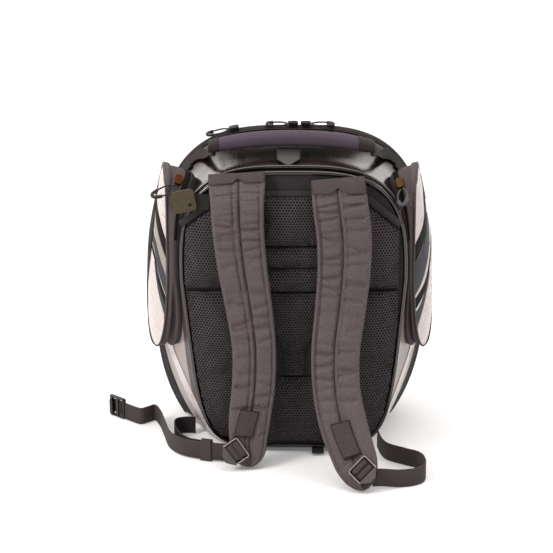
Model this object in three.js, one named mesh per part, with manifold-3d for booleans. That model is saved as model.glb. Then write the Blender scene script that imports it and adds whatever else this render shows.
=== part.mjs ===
// Motorcycle tank bag that is carried as a rucksack, stood upright on its narrow end.
// Millimetres, +Z up. The harness side faces -Y, and the origin is the middle of the flat base.
// Inside the bag's group, x runs to the right, y is the depth behind the back seam, and z is the height.
import * as THREE from "three";
import { mergeVertices } from "three/addons/utils/BufferGeometryUtils.js";
import Module from "manifold-3d";

const wasm = await Module();
wasm.setup();

// Driving dimensions
const GAP = 0.3;
const BASE_MIDDLE_DEPTH = 88;
const CLOTH = 2;
const PADDED_WALL = 3;
const BASE_THICKNESS = 3;
const LID_THICKNESS = 2.6;
const RIM_DEPTH = 100;
const ZIP_WIDTH = 12;
const ZIP_BULGE = 3;
const ZIP_END_RISE = 8;
const LID_SEAM_DEPTH = 166;
const LID_DEPTH = 200;
const LID_CROWN = 4;
const LID_COLUMNS = 28;
const LID_FLOOR = BASE_THICKNESS + 2 * GAP;
const PIPING_RADIUS = 2.4;
const YOKE_ARC = 138;
const BASE_EDGE_RISE = 0.5;
const BASE_INSET = 2.6;
const BASE_END_DEPTH = 166;
const INSIDE = new THREE.Vector3(0, 90, 180);

// Outline of the shell at each depth: half width at the widest height, crown, and foot (cut flat by the floor)
const BODY = [
  { depth: 0, widest: 128.5, widestZ: 215, crownZ: 342, crownPower: 3.3, footZ: 8, footPower: 6, taper: 0.155 },
  { depth: 20, widest: 133, widestZ: 205, crownZ: 349, crownPower: 3.1, footZ: -8, footPower: 4.5, taper: 0.11 },
  { depth: 50, widest: 144, widestZ: 188, crownZ: 352, crownPower: 3.1, footZ: -28, footPower: 3.2, taper: 0.055 },
  { depth: 75, widest: 152, widestZ: 168, crownZ: 358, crownPower: 3.1, footZ: -44, footPower: 2.6, taper: 0.03 },
  { depth: 100, widest: 161, widestZ: 150, crownZ: 370, crownPower: 3.15, footZ: -60, footPower: 2.25, taper: 0 },
  { depth: 114, widest: 162, widestZ: 150, crownZ: 371, crownPower: 3.2, footZ: -58, footPower: 2.25, taper: 0 },
  { depth: 150, widest: 157, widestZ: 152, crownZ: 363, crownPower: 3.0, footZ: -40, footPower: 2.3, taper: 0 },
  { depth: 180, widest: 141, widestZ: 160, crownZ: 340, crownPower: 2.7, footZ: -6, footPower: 2.3, taper: 0 },
  { depth: 200, widest: 104, widestZ: 172, crownZ: 296, crownPower: 2.4, footZ: 46, footPower: 2.3, taper: 0 },
];

// Sideways set of the soft body: at the foot and the top of its back, and at the foot and the top of its rim
const SWAY = { height: 350, backFoot: 6, backTop: 2, rimFoot: -2, rimTop: 4 };

// Shoulder straps, from the seam at the top to the rounded end on the floor: middle line, half width, thickness
const STRAP_LEFT = [
  { x: -61, depth: -3.9, z: 342, half: 32, thick: 4 },
  { x: -60.5, depth: -13.5, z: 332, half: 31.5, thick: 6 },
  { x: -60, depth: -21, z: 312, half: 30, thick: 11 },
  { x: -59, depth: -22, z: 280, half: 29, thick: 11 },
  { x: -55, depth: -23, z: 240, half: 28, thick: 11 },
  { x: -47.5, depth: -25, z: 190, half: 26.5, thick: 11 },
  { x: -42, depth: -28.5, z: 145, half: 25.2, thick: 11 },
  { x: -42.5, depth: -34, z: 100, half: 25, thick: 11 },
  { x: -47.5, depth: -40, z: 56, half: 24, thick: 10 },
  { x: -49, depth: -45, z: 25, half: 21, thick: 9 },
  { x: -47.5, depth: -49.5, z: 3.6, half: 20, thick: 6 },
];
const STRAP_RIGHT = [
  { x: 52.5, depth: -3.9, z: 336, half: 30, thick: 4 },
  { x: 53.2, depth: -13.5, z: 328, half: 30.5, thick: 6 },
  { x: 55.5, depth: -21, z: 308, half: 31, thick: 11 },
  { x: 60, depth: -22, z: 272, half: 31, thick: 11 },
  { x: 60, depth: -24.5, z: 232, half: 30, thick: 11 },
  { x: 56, depth: -32, z: 188, half: 28.8, thick: 11 },
  { x: 51, depth: -43, z: 145, half: 27.6, thick: 11 },
  { x: 52, depth: -58, z: 103, half: 27, thick: 11 },
  { x: 60, depth: -76, z: 66, half: 27, thick: 10 },
  { x: 72, depth: -94, z: 34, half: 25, thick: 9 },
  { x: 83.5, depth: -111.5, z: 4.2, half: 23, thick: 6 },
];
const STRAP_STEPS = 15;
const STRAP_ROUND_FROM = 0.9;
const STRAP_ROUND_STEPS = [0.93, 0.96, 0.98, 0.993, 1];
const STRAP_TIP_SHARE = 0.15;
const STRAP_EDGE = 1.4;

// Webbing patches and ladder locks on the strap ends: place along the strap (0 to 1) and across it
const STRAP_ENDS = [
  {
    side: "left",
    strap: STRAP_LEFT,
    from: 0.765,
    to: 0.85,
    across: -1,
    drift: 5,
    lock: 0.905,
    lockAcross: -13.5,
    turn: -56,
  },
  {
    side: "right",
    strap: STRAP_RIGHT,
    from: 0.785,
    to: 0.875,
    across: -3,
    drift: 2,
    lock: 0.94,
    lockAcross: 5,
    turn: 26,
  },
];
const WEBBING_WIDTH = 22;
const WEBBING_THICKNESS = 1.8;
const TAB_STEPS = 5;
const LOCK_WIDTH = 27;
const LOCK_LENGTH = 20;
const LOCK_THICKNESS = 4.5;
const LOCK_BAR = 3.2;
const LOCK_SLOT = 22.8;
const LOCK_CORNER = 2;
const LOCK_TONGUE = 8;
const LOCK_LIFT = 0.9;
const TONGUE_END_SHARE = 0.3;

// Webbing that stands on its edge on the floor, in plan, with the height of its middle
const WEBBING_LEFT = [
  { x: -72, depth: -31.5, z: 13.2 },
  { x: -86, depth: -28.6, z: 13.2 },
  { x: -99, depth: -25.2, z: 13.1 },
  { x: -112, depth: -20.8, z: 12.6 },
  { x: -129, depth: -11, z: 12.1 },
  { x: -143, depth: 8, z: 11.5 },
  { x: -152, depth: 42, z: 11.5 },
  { x: -160, depth: 74, z: 11.5 },
  { x: -168, depth: 90, z: 12 },
  { x: -176, depth: 84, z: 12 },
  { x: -184, depth: 80, z: 11.5 },
  { x: -196, depth: 88, z: 11.5 },
  { x: -205.5, depth: 96.5, z: 11.5 },
];
const ANCHOR_LEFT = [
  { x: -115.2, depth: 50.5, z: 12.5 },
  { x: -128, depth: 53, z: 11.5 },
  { x: -138, depth: 48, z: 11.5 },
  { x: -139, depth: 32, z: 11.5 },
  { x: -131, depth: 6, z: 11.5 },
  { x: -119, depth: -12.8, z: 12.7 },
  { x: -108, depth: -18.4, z: 13.1 },
  { x: -98, depth: -21.9, z: 13.1 },
  { x: -91, depth: -23.8, z: 13.1 },
];
const WEBBING_RIGHT = [
  { x: 104.8, depth: 7, z: 13.5 },
  { x: 108, depth: -11, z: 12 },
  { x: 114, depth: -24, z: 11.5 },
  { x: 133, depth: -38, z: 11.5 },
  { x: 149, depth: -49, z: 11.5 },
  { x: 154, depth: -64, z: 11.5 },
  { x: 152, depth: -82, z: 11.5 },
  { x: 142, depth: -92, z: 11.5 },
  { x: 124, depth: -97, z: 11.5 },
  { x: 101.5, depth: -101, z: 14.5 },
];
const KEEPER = { x: -98.5, depth: -23.6, z: 13.1, length: 13, tall: 25.6, thick: 8.4, turn: -17 };
const KEEPER_SLOT = { tall: 23.2, thick: 6.2 };
const KEEPER_CORNER = 1;
const TRI_GLIDE = { x: -215.4, depth: 105.5, z: 13.4, length: 26, tall: 26.6, thick: 4, bar: 4, turn: 137 };
const BASE_TAB = { x: 33, width: 14, from: -13, to: 1.5, z: 4.2, thick: 2 };

// Back padding: panels of spacer mesh over foam, by height and half widths
const PAD_EDGE = 2;
const PAD_MARGIN = 4.8;
const COLUMN_EDGE = 38;
const NECK_SHARE = 0.25;
const CORNER_CUT = { x: 124, z: 274, slope: 1.25 };
const SIDE_PADS = [
  { name: "pad_upper", bottom: 207, top: 312, thick: 13 },
  { name: "pad_lower", bottom: 20.6, top: 203, thick: 13 },
];
const CENTRE_PADS = [
  { name: "pad_centre_top", bottom: 257, top: 314, thick: 9, halfTop: 35, halfBottom: 35 },
  { name: "pad_rib_upper", bottom: 231, top: 255, thick: 9, halfTop: 35, halfBottom: 35 },
  { name: "pad_rib_lower", bottom: 202, top: 229, thick: 9, halfTop: 35, halfBottom: 35 },
  { name: "pad_centre_middle", bottom: 99, top: 200, thick: 8, halfTop: 33, halfBottom: 12 },
  { name: "pad_centre_low", bottom: 15, top: 96, thick: 10, halfTop: 34, halfBottom: 30 },
];

// Side pockets: a lens with a dark gusset and a domed white face
const POCKET = {
  depth: 54,
  reach: 41,
  middleZ: 228.5,
  halfZ: 109.5,
  power: 2.3,
  dome: 12,
  standoff: 0.8,
  droop: 18,
};
const POCKET_EDGE = [
  { z: 118, edge: 146, flare: 30 },
  { z: 150, edge: 144, flare: 29 },
  { z: 200, edge: 142, flare: 24 },
  { z: 250, edge: 141, flare: 20 },
  { z: 300, edge: 140, flare: 14 },
  { z: 340, edge: 139, flare: 12 },
];
const POCKET_STEPS = 28;
const POCKET_FOLD = { top: 218, fade: 60, depth: 7, width: 0.14, lobe: 3 };

// Top handle, its tabs and the blank patch
const HANDLE = { middleX: 1, depth: 50, endX: 95, endZ: 361, rise: 10, halfTall: 8.3, halfDeep: 12.5 };
const HANDLE_STEPS = 13;
const HANDLE_SIDES = 10;
const HANDLE_NARROWING = 0.35;
const HANDLE_SQUARENESS = 0.7;
const HANDLE_TAB = [
  { arc: 86, front: 41, back: 59, lift: 12.7 },
  { arc: 95, front: 50, back: 70, lift: 10.5 },
  { arc: 104, front: 61, back: 84, lift: 5.5 },
  { arc: 113, front: 74, back: 97, lift: 1.8 },
  { arc: 122, front: 81, back: 98.5, lift: 0.7 },
  { arc: 131, front: 84, back: 98.5, lift: 0.7 },
];
const PATCH_LIFT = 0.6;
const SHIELD_SET = -5;
const SHIELD = [
  { depth: 11, half: 1.5 },
  { depth: 21, half: 13 },
  { depth: 33, half: 13.5 },
  { depth: 46, half: 13.5 },
];

// Zip sliders and their cord pulls: arc from the crown, how the pull lies
const ZIP_PULLS = [
  { name: "left", arc: -70, lies: -1, length: 26 },
  { name: "centre", arc: -1, lies: -1, length: 24 },
  { name: "right", arc: 14, lies: 1, length: 26 },
];
const POCKET_PULLS = [
  { name: "left", side: -1, angle: 2.03, share: 0.66, lean: 16, swing: -46, length: 34 },
  { name: "right", side: 1, angle: 2.05, share: 0.48, lean: 37, swing: 0, length: 38 },
];
const SLIDER = { length: 12, width: 8, height: 4.5 };
const SEAT_SCALE = 100;
const SEAT_LIFT = 0.15;
const PULL = { cord: 1, tip: 2.1, spread: 5.5, sides: 8, steps: 12, tipSteps: 5 };

// Olive tab with an eye at the upper left corner
const TETHER = { x: -121, z: 311, depth: -7, width: 27, height: 25, thick: 4, eye: 2.4, lean: -12 };
const TETHER_STRAP = { from: -113, to: -92, z: 309, half: 9, depth: -3.7, thick: 1.8 };

// Finishes: colour, roughness
const FINISH = {
  weave: { color: 0x554c4b, roughness: 0.85 },
  mesh: { color: 0x2c292a, roughness: 0.9 },
  vinyl: { color: 0x14110f, roughness: 0.25 },
  white: { color: 0xf0edea, roughness: 0.3 },
  gusset: { color: 0x4a4240, roughness: 0.8 },
  webbing: { color: 0x37312f, roughness: 0.8 },
  neoprene: { color: 0x3c343c, roughness: 0.75 },
  lid: { color: 0x2a2626, roughness: 0.8 },
  plastic: { color: 0x1d1b1b, roughness: 0.4 },
  rubber: { color: 0x3a3838, roughness: 0.6 },
  brass: { color: 0xa5622c, roughness: 0.35, metalness: 0.9 },
  cord: { color: 0x55535a, roughness: 0.8 },
  olive: { color: 0x5c5238, roughness: 0.8 },
};

const bag = new THREE.Group();
bag.position.y = -BASE_MIDDLE_DEPTH;

// Meshes

function material(finish) {
  return new THREE.MeshStandardMaterial({ metalness: 0, ...FINISH[finish] });
}

function addPiece(name, geometry, finish) {
  const mesh = new THREE.Mesh(geometry, material(finish));
  mesh.name = name;
  bag.add(mesh);
  return mesh;
}

// A closed body from points and triangles, turned so that its faces point out.
function solid(points, faces) {
  let volume = 0;
  for (const [a, b, c] of faces) {
    volume += points[a].dot(points[b].clone().cross(points[c]));
  }
  const turned = volume < 0 ? faces.map(([a, b, c]) => [a, c, b]) : faces;
  const geometry = new THREE.BufferGeometry().setFromPoints(points);
  geometry.setIndex(turned.flat());
  geometry.computeVertexNormals();
  return geometry;
}

// Joins closed loops of equal count, with fans over the two ends unless the loops run round in a ring.
function loft(loops, ring = false) {
  const count = loops[0].length;
  const points = loops.flat();
  const faces = [];
  const bands = ring ? loops.length : loops.length - 1;
  for (let band = 0; band < bands; band += 1) {
    const here = band * count;
    const next = ((band + 1) % loops.length) * count;
    for (let side = 0; side < count; side += 1) {
      const after = (side + 1) % count;
      faces.push([here + side, here + after, next + after], [here + side, next + after, next + side]);
    }
  }
  if (!ring) {
    const last = (loops.length - 1) * count;
    const first = points.push(middleOf(loops[0])) - 1;
    const end = points.push(middleOf(loops[loops.length - 1])) - 1;
    for (let side = 0; side < count; side += 1) {
      const after = (side + 1) % count;
      faces.push([first, after, side], [end, last + side, last + after]);
    }
  }
  return solid(points, faces);
}

function middleOf(loop) {
  const sum = new THREE.Vector3();
  loop.forEach((point) => sum.add(point));
  return sum.divideScalar(loop.length);
}

// A wall between two grids of points. A ring closes round its columns; a capped one closes over its last row.
function wall(outer, inner, { ring = false, capped = null } = {}) {
  const rows = outer.length;
  const columns = outer[0].length;
  const points = [...outer.flat(), ...inner.flat()];
  const faces = [];
  const out = (row, column) => row * columns + (column % columns);
  const into = (row, column) => rows * columns + out(row, column);
  const quad = (a, b, c, d) => faces.push([a, b, c], [a, c, d]);
  const spans = ring ? columns : columns - 1;
  for (let row = 0; row < rows - 1; row += 1) {
    for (let column = 0; column < spans; column += 1) {
      quad(out(row, column), out(row, column + 1), out(row + 1, column + 1), out(row + 1, column));
      quad(into(row, column), into(row + 1, column), into(row + 1, column + 1), into(row, column + 1));
    }
    if (!ring) {
      quad(out(row, 0), out(row + 1, 0), into(row + 1, 0), into(row, 0));
      const edge = columns - 1;
      quad(out(row + 1, edge), out(row, edge), into(row, edge), into(row + 1, edge));
    }
  }
  const last = rows - 1;
  const crowns = capped ? capped.map((point) => points.push(point) - 1) : [];
  for (let column = 0; column < spans; column += 1) {
    quad(out(0, column + 1), out(0, column), into(0, column), into(0, column + 1));
    if (capped) {
      faces.push([crowns[0], out(last, column), out(last, column + 1)]);
      faces.push([crowns[1], into(last, column + 1), into(last, column)]);
    } else {
      quad(out(last, column), out(last, column + 1), into(last, column + 1), into(last, column));
    }
  }
  return solid(points, faces);
}

function shapeFrom(points) {
  return new THREE.Shape(points.map(([x, y]) => new THREE.Vector2(x, y)));
}

function roundedRectangle(width, height, corner) {
  const shape = new THREE.Shape();
  const x = width / 2 - corner;
  const y = height / 2 - corner;
  shape.absarc(x, y, corner, 0, Math.PI / 2);
  shape.absarc(-x, y, corner, Math.PI / 2, Math.PI);
  shape.absarc(-x, -y, corner, Math.PI, 1.5 * Math.PI);
  shape.absarc(x, -y, corner, 1.5 * Math.PI, 2 * Math.PI);
  return shape;
}

function plate(shape, thickness) {
  const geometry = new THREE.ExtrudeGeometry(shape, { depth: thickness, bevelEnabled: false, curveSegments: 2 });
  return geometry.translate(0, 0, -thickness / 2);
}

function tube(curve, radius, sides, steps) {
  const shape = new THREE.Shape();
  shape.absarc(0, 0, radius, 0, 2 * Math.PI);
  const ring = shapeFrom(shape.getSpacedPoints(sides).slice(0, sides).map((point) => [point.x, point.y]));
  return new THREE.ExtrudeGeometry(ring, { extrudePath: curve, steps, bevelEnabled: false });
}

function join(first, second) {
  const bodies = [first, second].map((geometry) => {
    const bare = geometry.clone();
    bare.deleteAttribute("normal");
    bare.deleteAttribute("uv");
    const merged = mergeVertices(bare, 1e-4);
    return new wasm.Manifold(
      new wasm.Mesh({
        numProp: 3,
        vertProperties: new Float32Array(merged.attributes.position.array),
        triVerts: new Uint32Array(merged.index.array),
      }),
    );
  });
  const mesh = bodies[0].add(bodies[1]).getMesh();
  const geometry = new THREE.BufferGeometry();
  geometry.setAttribute("position", new THREE.Float32BufferAttribute(mesh.vertProperties, 3));
  geometry.setIndex([...mesh.triVerts]);
  geometry.computeVertexNormals();
  return geometry;
}

function spread(from, to, steps) {
  return Array.from({ length: steps + 1 }, (_, step) => from + ((to - from) * step) / steps);
}

function smoothStep(value) {
  const held = THREE.MathUtils.clamp(value, 0, 1);
  return held * held * (3 - 2 * held);
}

// Every column of a table at a value of its key column, on a smooth curve through the rows.
function tableRow(table, key, value) {
  const last = table.length - 1;
  const held = THREE.MathUtils.clamp(value, table[0][key], table[last][key]);
  let low = 0;
  while (low < last - 1 && table[low + 1][key] < held) {
    low += 1;
  }
  const span = table[low + 1][key] - table[low][key];
  const t = (held - table[low][key]) / span;
  const slope = (row, column) => {
    const before = table[Math.max(row - 1, 0)];
    const after = table[Math.min(row + 1, last)];
    return (after[column] - before[column]) / (after[key] - before[key]);
  };
  const found = {};
  for (const column of Object.keys(table[0])) {
    const a = table[low][column];
    const b = table[low + 1][column];
    const bend = t * (1 - t) * span;
    const straight = (b - a) / span;
    const start = (1 - t) * (slope(low, column) - straight);
    const end = t * (slope(low + 1, column) - straight);
    found[column] = a + (b - a) * t + bend * (start - end);
  }
  return found;
}

// Shell surface

const OUTLINE_STEPS = 160;
const outlines = new Map();

// Half of the outline at a depth, from the crown down to the foot, with the distance along it.
function halfOutline(depth) {
  const key = depth.toFixed(4);
  if (!outlines.has(key)) {
    const row = tableRow(BODY, "depth", depth);
    const points = [];
    for (let step = 0; step <= 2 * OUTLINE_STEPS; step += 1) {
      const angle = (Math.PI / 2) * (1 - step / OUTLINE_STEPS);
      const upper = angle >= 0;
      const power = 2 / (upper ? row.crownPower : row.footPower);
      const height = Math.abs(Math.sin(angle)) ** power;
      const narrowed = upper ? 1 : 1 - row.taper * height;
      const x = row.widest * Math.max(Math.cos(angle), 0) ** power * narrowed;
      const z = upper
        ? row.widestZ + (row.crownZ - row.widestZ) * height
        : row.widestZ - (row.widestZ - row.footZ) * height;
      points.push({ x, z });
    }
    outlines.set(key, points);
  }
  return outlines.get(key);
}

function measured(depth, floor) {
  const key = `${depth.toFixed(4)} ${floor}`;
  if (!outlines.has(key)) {
    let along = 0;
    const points = halfOutline(depth).map(({ x, z }) => ({ x, z: Math.max(z, floor) }));
    outlines.set(
      key,
      points.map((point, index) => {
        const before = points[Math.max(index - 1, 0)];
        along += Math.hypot(point.x - before.x, point.z - before.z);
        return { ...point, along };
      }),
    );
  }
  return outlines.get(key);
}

function halfLength(depth, floor = 0) {
  return measured(depth, floor).at(-1).along;
}

function sway(depth, z) {
  const up = z / SWAY.height;
  const back = THREE.MathUtils.lerp(SWAY.backFoot, SWAY.backTop, up);
  const rim = THREE.MathUtils.lerp(SWAY.rimFoot, SWAY.rimTop, up);
  return THREE.MathUtils.lerp(back, rim, Math.min(depth / RIM_DEPTH, 1));
}

// The shell's point at a depth and a signed distance round from the crown, positive to the right.
function bodyPoint(depth, arc, floor = 0) {
  const points = measured(depth, floor);
  const along = Math.min(Math.abs(arc), points.at(-1).along);
  let index = points.findIndex((point) => point.along >= along);
  index = Math.max(index, 1);
  const a = points[index - 1];
  const b = points[index];
  const t = b.along > a.along ? (along - a.along) / (b.along - a.along) : 0;
  const x = a.x + (b.x - a.x) * t;
  const z = a.z + (b.z - a.z) * t;
  return new THREE.Vector3(Math.sign(arc) * x + sway(depth, z), depth, z);
}

// Distance round from the crown to where the shell meets its foot
function baseEdge(depth) {
  const points = measured(depth, 0);
  return points.find((point) => point.z <= points.at(-1).z + BASE_EDGE_RISE).along;
}

// The shell's side at a depth and height; sign is -1 on the left and 1 on the right
function sideX(sign, depth, z) {
  const points = halfOutline(depth);
  const index = Math.max(points.findIndex((point) => point.z <= z), 1);
  const a = points[index - 1];
  const b = points[index];
  const half = a.x + ((b.x - a.x) * (a.z - z)) / Math.max(a.z - b.z, 1e-6);
  return sign * half + sway(depth, z);
}

const NORMAL_STEP = 0.6;

function outwardNormal(surface, row, column, inside) {
  const along = surface(row + NORMAL_STEP, column).sub(surface(row - NORMAL_STEP, column));
  const round = surface(row, column + NORMAL_STEP).sub(surface(row, column - NORMAL_STEP));
  const normal = along.cross(round).normalize();
  return normal.dot(surface(row, column).sub(inside)) < 0 ? normal.negate() : normal;
}

// A sheet over a surface, from lift to lift + thickness above it at each spot; a negative lift lies inside.
function sheetOn(surface, spots, lift, thickness) {
  const level = (height) =>
    spots.map((line) =>
      line.map(([row, column]) => {
        const normal = outwardNormal(surface, row, column, INSIDE);
        return surface(row, column).addScaledVector(normal, lift(row, column) + height);
      }),
    );
  return wall(level(thickness), level(0));
}

const SHELL_DEPTHS = [PIPING_RADIUS + GAP, 14, 32, 50, 68, 85, RIM_DEPTH];

function shellPanel(depths, arcsAt, thickness) {
  const spots = depths.map((depth) => arcsAt(depth).map((arc) => [depth, arc]));
  return sheetOn((depth, arc) => bodyPoint(depth, arc), spots, () => -thickness, thickness);
}

function addShell() {
  const yokeArcs = () => spread(-YOKE_ARC, YOKE_ARC, 16);
  addPiece("yoke", shellPanel(SHELL_DEPTHS, yokeArcs, CLOTH), "vinyl");
  for (const [side, sign] of [["left", -1], ["right", 1]]) {
    const sideArcs = (depth) => {
      return spread(YOKE_ARC + GAP, baseEdge(depth), 14).map((arc) => sign * arc);
    };
    addPiece(`side_panel_${side}`, shellPanel(SHELL_DEPTHS, sideArcs, CLOTH), "white");
  }
  addPiece("base_panel", basePanel([...SHELL_DEPTHS, 125, 145, BASE_END_DEPTH]), "lid");
}

// The base lies inside the lower edges of the sides and is thickened straight up, to keep its underside flat.
function basePanel(depths) {
  const under = depths.map((depth) => {
    const half = halfLength(depth);
    const right = spread(baseEdge(depth) + BASE_INSET, half, 3);
    const arcs = [...right, ...right.slice(0, -1).reverse().map((arc) => -arc)];
    return arcs.map((arc) => bodyPoint(depth, arc));
  });
  const lifted = under.map((line) => line.map((point) => point.clone().setZ(point.z + BASE_THICKNESS)));
  return wall(under, lifted);
}

function zipBulge(depth) {
  return ZIP_BULGE * Math.sin((Math.PI * (depth - RIM_DEPTH - GAP)) / (ZIP_WIDTH - 2 * GAP));
}

function addZipBand() {
  const from = RIM_DEPTH + GAP;
  const to = RIM_DEPTH + ZIP_WIDTH - GAP;
  const across = spread(from, to, 3);
  const half = baseEdge(RIM_DEPTH) - ZIP_END_RISE;
  const arcs = spread(-half, half, 34);
  const surface = (depth, arc) => bodyPoint(depth, arc);
  const level = (height) =>
    across.map((depth) =>
      arcs.map((arc) => {
        const normal = outwardNormal(surface, depth, arc, INSIDE);
        return surface(depth, arc).addScaledVector(normal, height + zipBulge(depth));
      }),
    );
  addPiece("zip_band", wall(level(0), level(-CLOTH)), "webbing");
}

// The lid closes round the front: a side band in two halves behind the zip and a domed face sewn to them.
function addLid() {
  const start = RIM_DEPTH + ZIP_WIDTH;
  const bandDepths = [start, (start + LID_SEAM_DEPTH) / 2, LID_SEAM_DEPTH];
  const faceDepths = [LID_SEAM_DEPTH + GAP, 178, 190, LID_DEPTH];
  for (const [side, sign] of [["left", -1], ["right", 1]]) {
    const level = (inset) => lidRings(bandDepths, inset).map((ring) => halfRing(ring, sign));
    addPiece(`lid_band_${side}`, wall(level(0), level(LID_THICKNESS)), "lid");
  }
  const outer = lidRings(faceDepths, 0);
  const inner = lidRings(faceDepths, LID_THICKNESS);
  const crown = middleOf(outer.at(-1)).add(new THREE.Vector3(0, LID_CROWN, 0));
  const under = crown.clone().add(new THREE.Vector3(0, -LID_THICKNESS, 0));
  addPiece("front_lid", wall(outer, inner, { ring: true, capped: [crown, under] }), "lid");
}

// One half of a lid ring, from the crown to the foot, set aside from the other half by the gap
function halfRing(ring, sign) {
  const foot = ring.length / 2;
  const points = sign > 0 ? ring.slice(0, foot + 1) : [...ring.slice(foot), ring[0]];
  return points.map((point) => point.clone().add(new THREE.Vector3((sign * GAP) / 2, 0, 0)));
}

// Rings of the lid at some depths, drawn in by an inset and, past the seam, back by as much towards its end.
function lidRings(depths, inset) {
  return depths.map((depth) => {
    const half = halfLength(depth, LID_FLOOR);
    const right = spread(0, half, LID_COLUMNS / 2);
    const arcs = [...right, ...right.slice(1, -1).reverse().map((arc) => -arc)];
    const ring = arcs.map((arc) => bodyPoint(depth, arc, LID_FLOOR));
    const centre = middleOf(ring);
    const forward = smoothStep((depth - LID_SEAM_DEPTH - GAP) / (LID_DEPTH - LID_SEAM_DEPTH));
    return ring.map((point) => {
      const inward = centre.clone().sub(point).normalize().multiplyScalar(inset);
      return point.add(inward).add(new THREE.Vector3(0, -inset * forward, 0));
    });
  });
}

// The back seam's outline, drawn in by an inset, as points in the plane of the back
function backSeam(count, inset) {
  const half = halfLength(0);
  return spread(-half, half, count)
    .slice(0, count)
    .map((arc) => {
      const point = bodyPoint(0, arc);
      const tangent = bodyPoint(0, arc + 1).sub(bodyPoint(0, arc - 1)).normalize();
      const normal = new THREE.Vector3(tangent.z, 0, -tangent.x);
      const outward = Math.sign(normal.dot(new THREE.Vector3(point.x, 0, point.z - INSIDE.z)));
      return point.addScaledVector(normal, -outward * inset);
    });
}

function addBack() {
  const inset = PIPING_RADIUS + GAP;
  const outline = shapeFrom(backSeam(44, inset).map((point) => [point.x, point.z]));
  const board = plate(outline, PADDED_WALL).rotateX(Math.PI / 2).translate(0, PADDED_WALL / 2, 0);
  addPiece("back_wall", board, "weave");
  const seam = backSeam(44, 0);
  const rings = seam.map((point, index) => {
    const before = seam.at(index - 1);
    const after = seam[(index + 1) % seam.length];
    const across = after.clone().sub(before).normalize().cross(new THREE.Vector3(0, 1, 0));
    return spread(0, 2 * Math.PI, 6)
      .slice(0, 6)
      .map((angle) =>
        point
          .clone()
          .addScaledVector(across, PIPING_RADIUS * Math.cos(angle))
          .add(new THREE.Vector3(0, PIPING_RADIUS * Math.sin(angle), 0)),
      );
  });
  addPiece("back_piping", loft(rings, true), "vinyl");
  const yokeSeamDepth = 3 * PIPING_RADIUS + GAP;
  const surface = (depth, arc) => bodyPoint(depth, arc);
  const line = spread(-YOKE_ARC, YOKE_ARC, 24).map((arc) =>
    bodyPoint(yokeSeamDepth, arc).addScaledVector(
      outwardNormal(surface, yokeSeamDepth, arc, INSIDE),
      PIPING_RADIUS + GAP,
    ),
  );
  addPiece("yoke_piping", tube(new THREE.CatmullRomCurve3(line), PIPING_RADIUS, 6, 24), "vinyl");
}

// Padding

function padLoop(z, left, right, height) {
  const front = spread(-1, 1, 6).map((u) => {
    const swell = Math.sqrt(Math.max(1 - u ** 4, 0));
    const front = -GAP - PAD_EDGE - (height - PAD_EDGE) * swell;
    return new THREE.Vector3(left + ((right - left) * (u + 1)) / 2, front, z);
  });
  return [...front, new THREE.Vector3(right, -GAP, z), new THREE.Vector3(left, -GAP, z)];
}

function addPad(name, bottom, top, thick, sidesAt) {
  const loops = [0, 0.05, 0.2, 0.5, 0.8, 0.95, 1].map((share) => {
    const z = bottom + (top - bottom) * share;
    const swell = Math.sqrt(Math.max(1 - (2 * share - 1) ** 4, 0));
    const [left, right] = sidesAt(z, share);
    return padLoop(z, left, right, PAD_EDGE + (thick - PAD_EDGE) * swell);
  });
  addPiece(name, loft(loops), "mesh");
}

function addPads() {
  const outerEdge = (sign, z) => {
    const cut = CORNER_CUT.x - CORNER_CUT.slope * Math.max(z - CORNER_CUT.z, 0);
    return sign * Math.min(sign * sideX(sign, 0, z) - PAD_MARGIN, cut);
  };
  for (const { name, bottom, top, thick } of SIDE_PADS) {
    addPad(`${name}_left`, bottom, top, thick, (z) => [outerEdge(-1, z), sway(0, z) - COLUMN_EDGE]);
    addPad(`${name}_right`, bottom, top, thick, (z) => [sway(0, z) + COLUMN_EDGE, outerEdge(1, z)]);
  }
  for (const { name, bottom, top, thick, halfTop, halfBottom } of CENTRE_PADS) {
    addPad(name, bottom, top, thick, (z, share) => {
      const widening = smoothStep((share - NECK_SHARE) / (1 - 2 * NECK_SHARE));
      const half = halfBottom + (halfTop - halfBottom) * widening;
      return [sway(0, z) - half, sway(0, z) + half];
    });
  }
}

// Straps

function strapFrame(rows, along) {
  const curve = new THREE.CatmullRomCurve3(rows.map(({ x, depth, z }) => new THREE.Vector3(x, depth, z)));
  const at = THREE.MathUtils.clamp(along, 0, 1);
  const tangent = curve.getTangent(at);
  const facing = new THREE.Vector3(0, -1, 0);
  const normal = facing.addScaledVector(tangent, -facing.dot(tangent)).normalize();
  const across = normal.clone().cross(tangent).normalize();
  const numbered = rows.map((row, index) => ({ ...row, at: index / (rows.length - 1) }));
  const { half, thick } = tableRow(numbered, "at", at);
  const past = Math.max((at - STRAP_ROUND_FROM) / (1 - STRAP_ROUND_FROM), 0);
  const rounding = Math.max(Math.sqrt(1 - past * past), STRAP_TIP_SHARE);
  return { middle: curve.getPoint(at), tangent, normal, across, half: half * rounding, thick };
}

function onStrap(frame, across, lift) {
  return frame.middle.clone().addScaledVector(frame.across, across).addScaledVector(frame.normal, lift);
}

function strapLoop(rows, along) {
  const frame = strapFrame(rows, along);
  const pad = frame.thick / 2 - STRAP_EDGE;
  const front = spread(-1, 1, 8).map((u) => {
    const channel = Math.sqrt(Math.max(1 - (2 * Math.abs(u) - 1) ** 2, 0));
    return onStrap(frame, u * frame.half, STRAP_EDGE + pad * channel);
  });
  const back = [0.85, 0.3, -0.3, -0.85].map((u) =>
    onStrap(frame, u * frame.half, -STRAP_EDGE - pad * (1 - u ** 4)),
  );
  return [...front, ...back];
}

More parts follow.
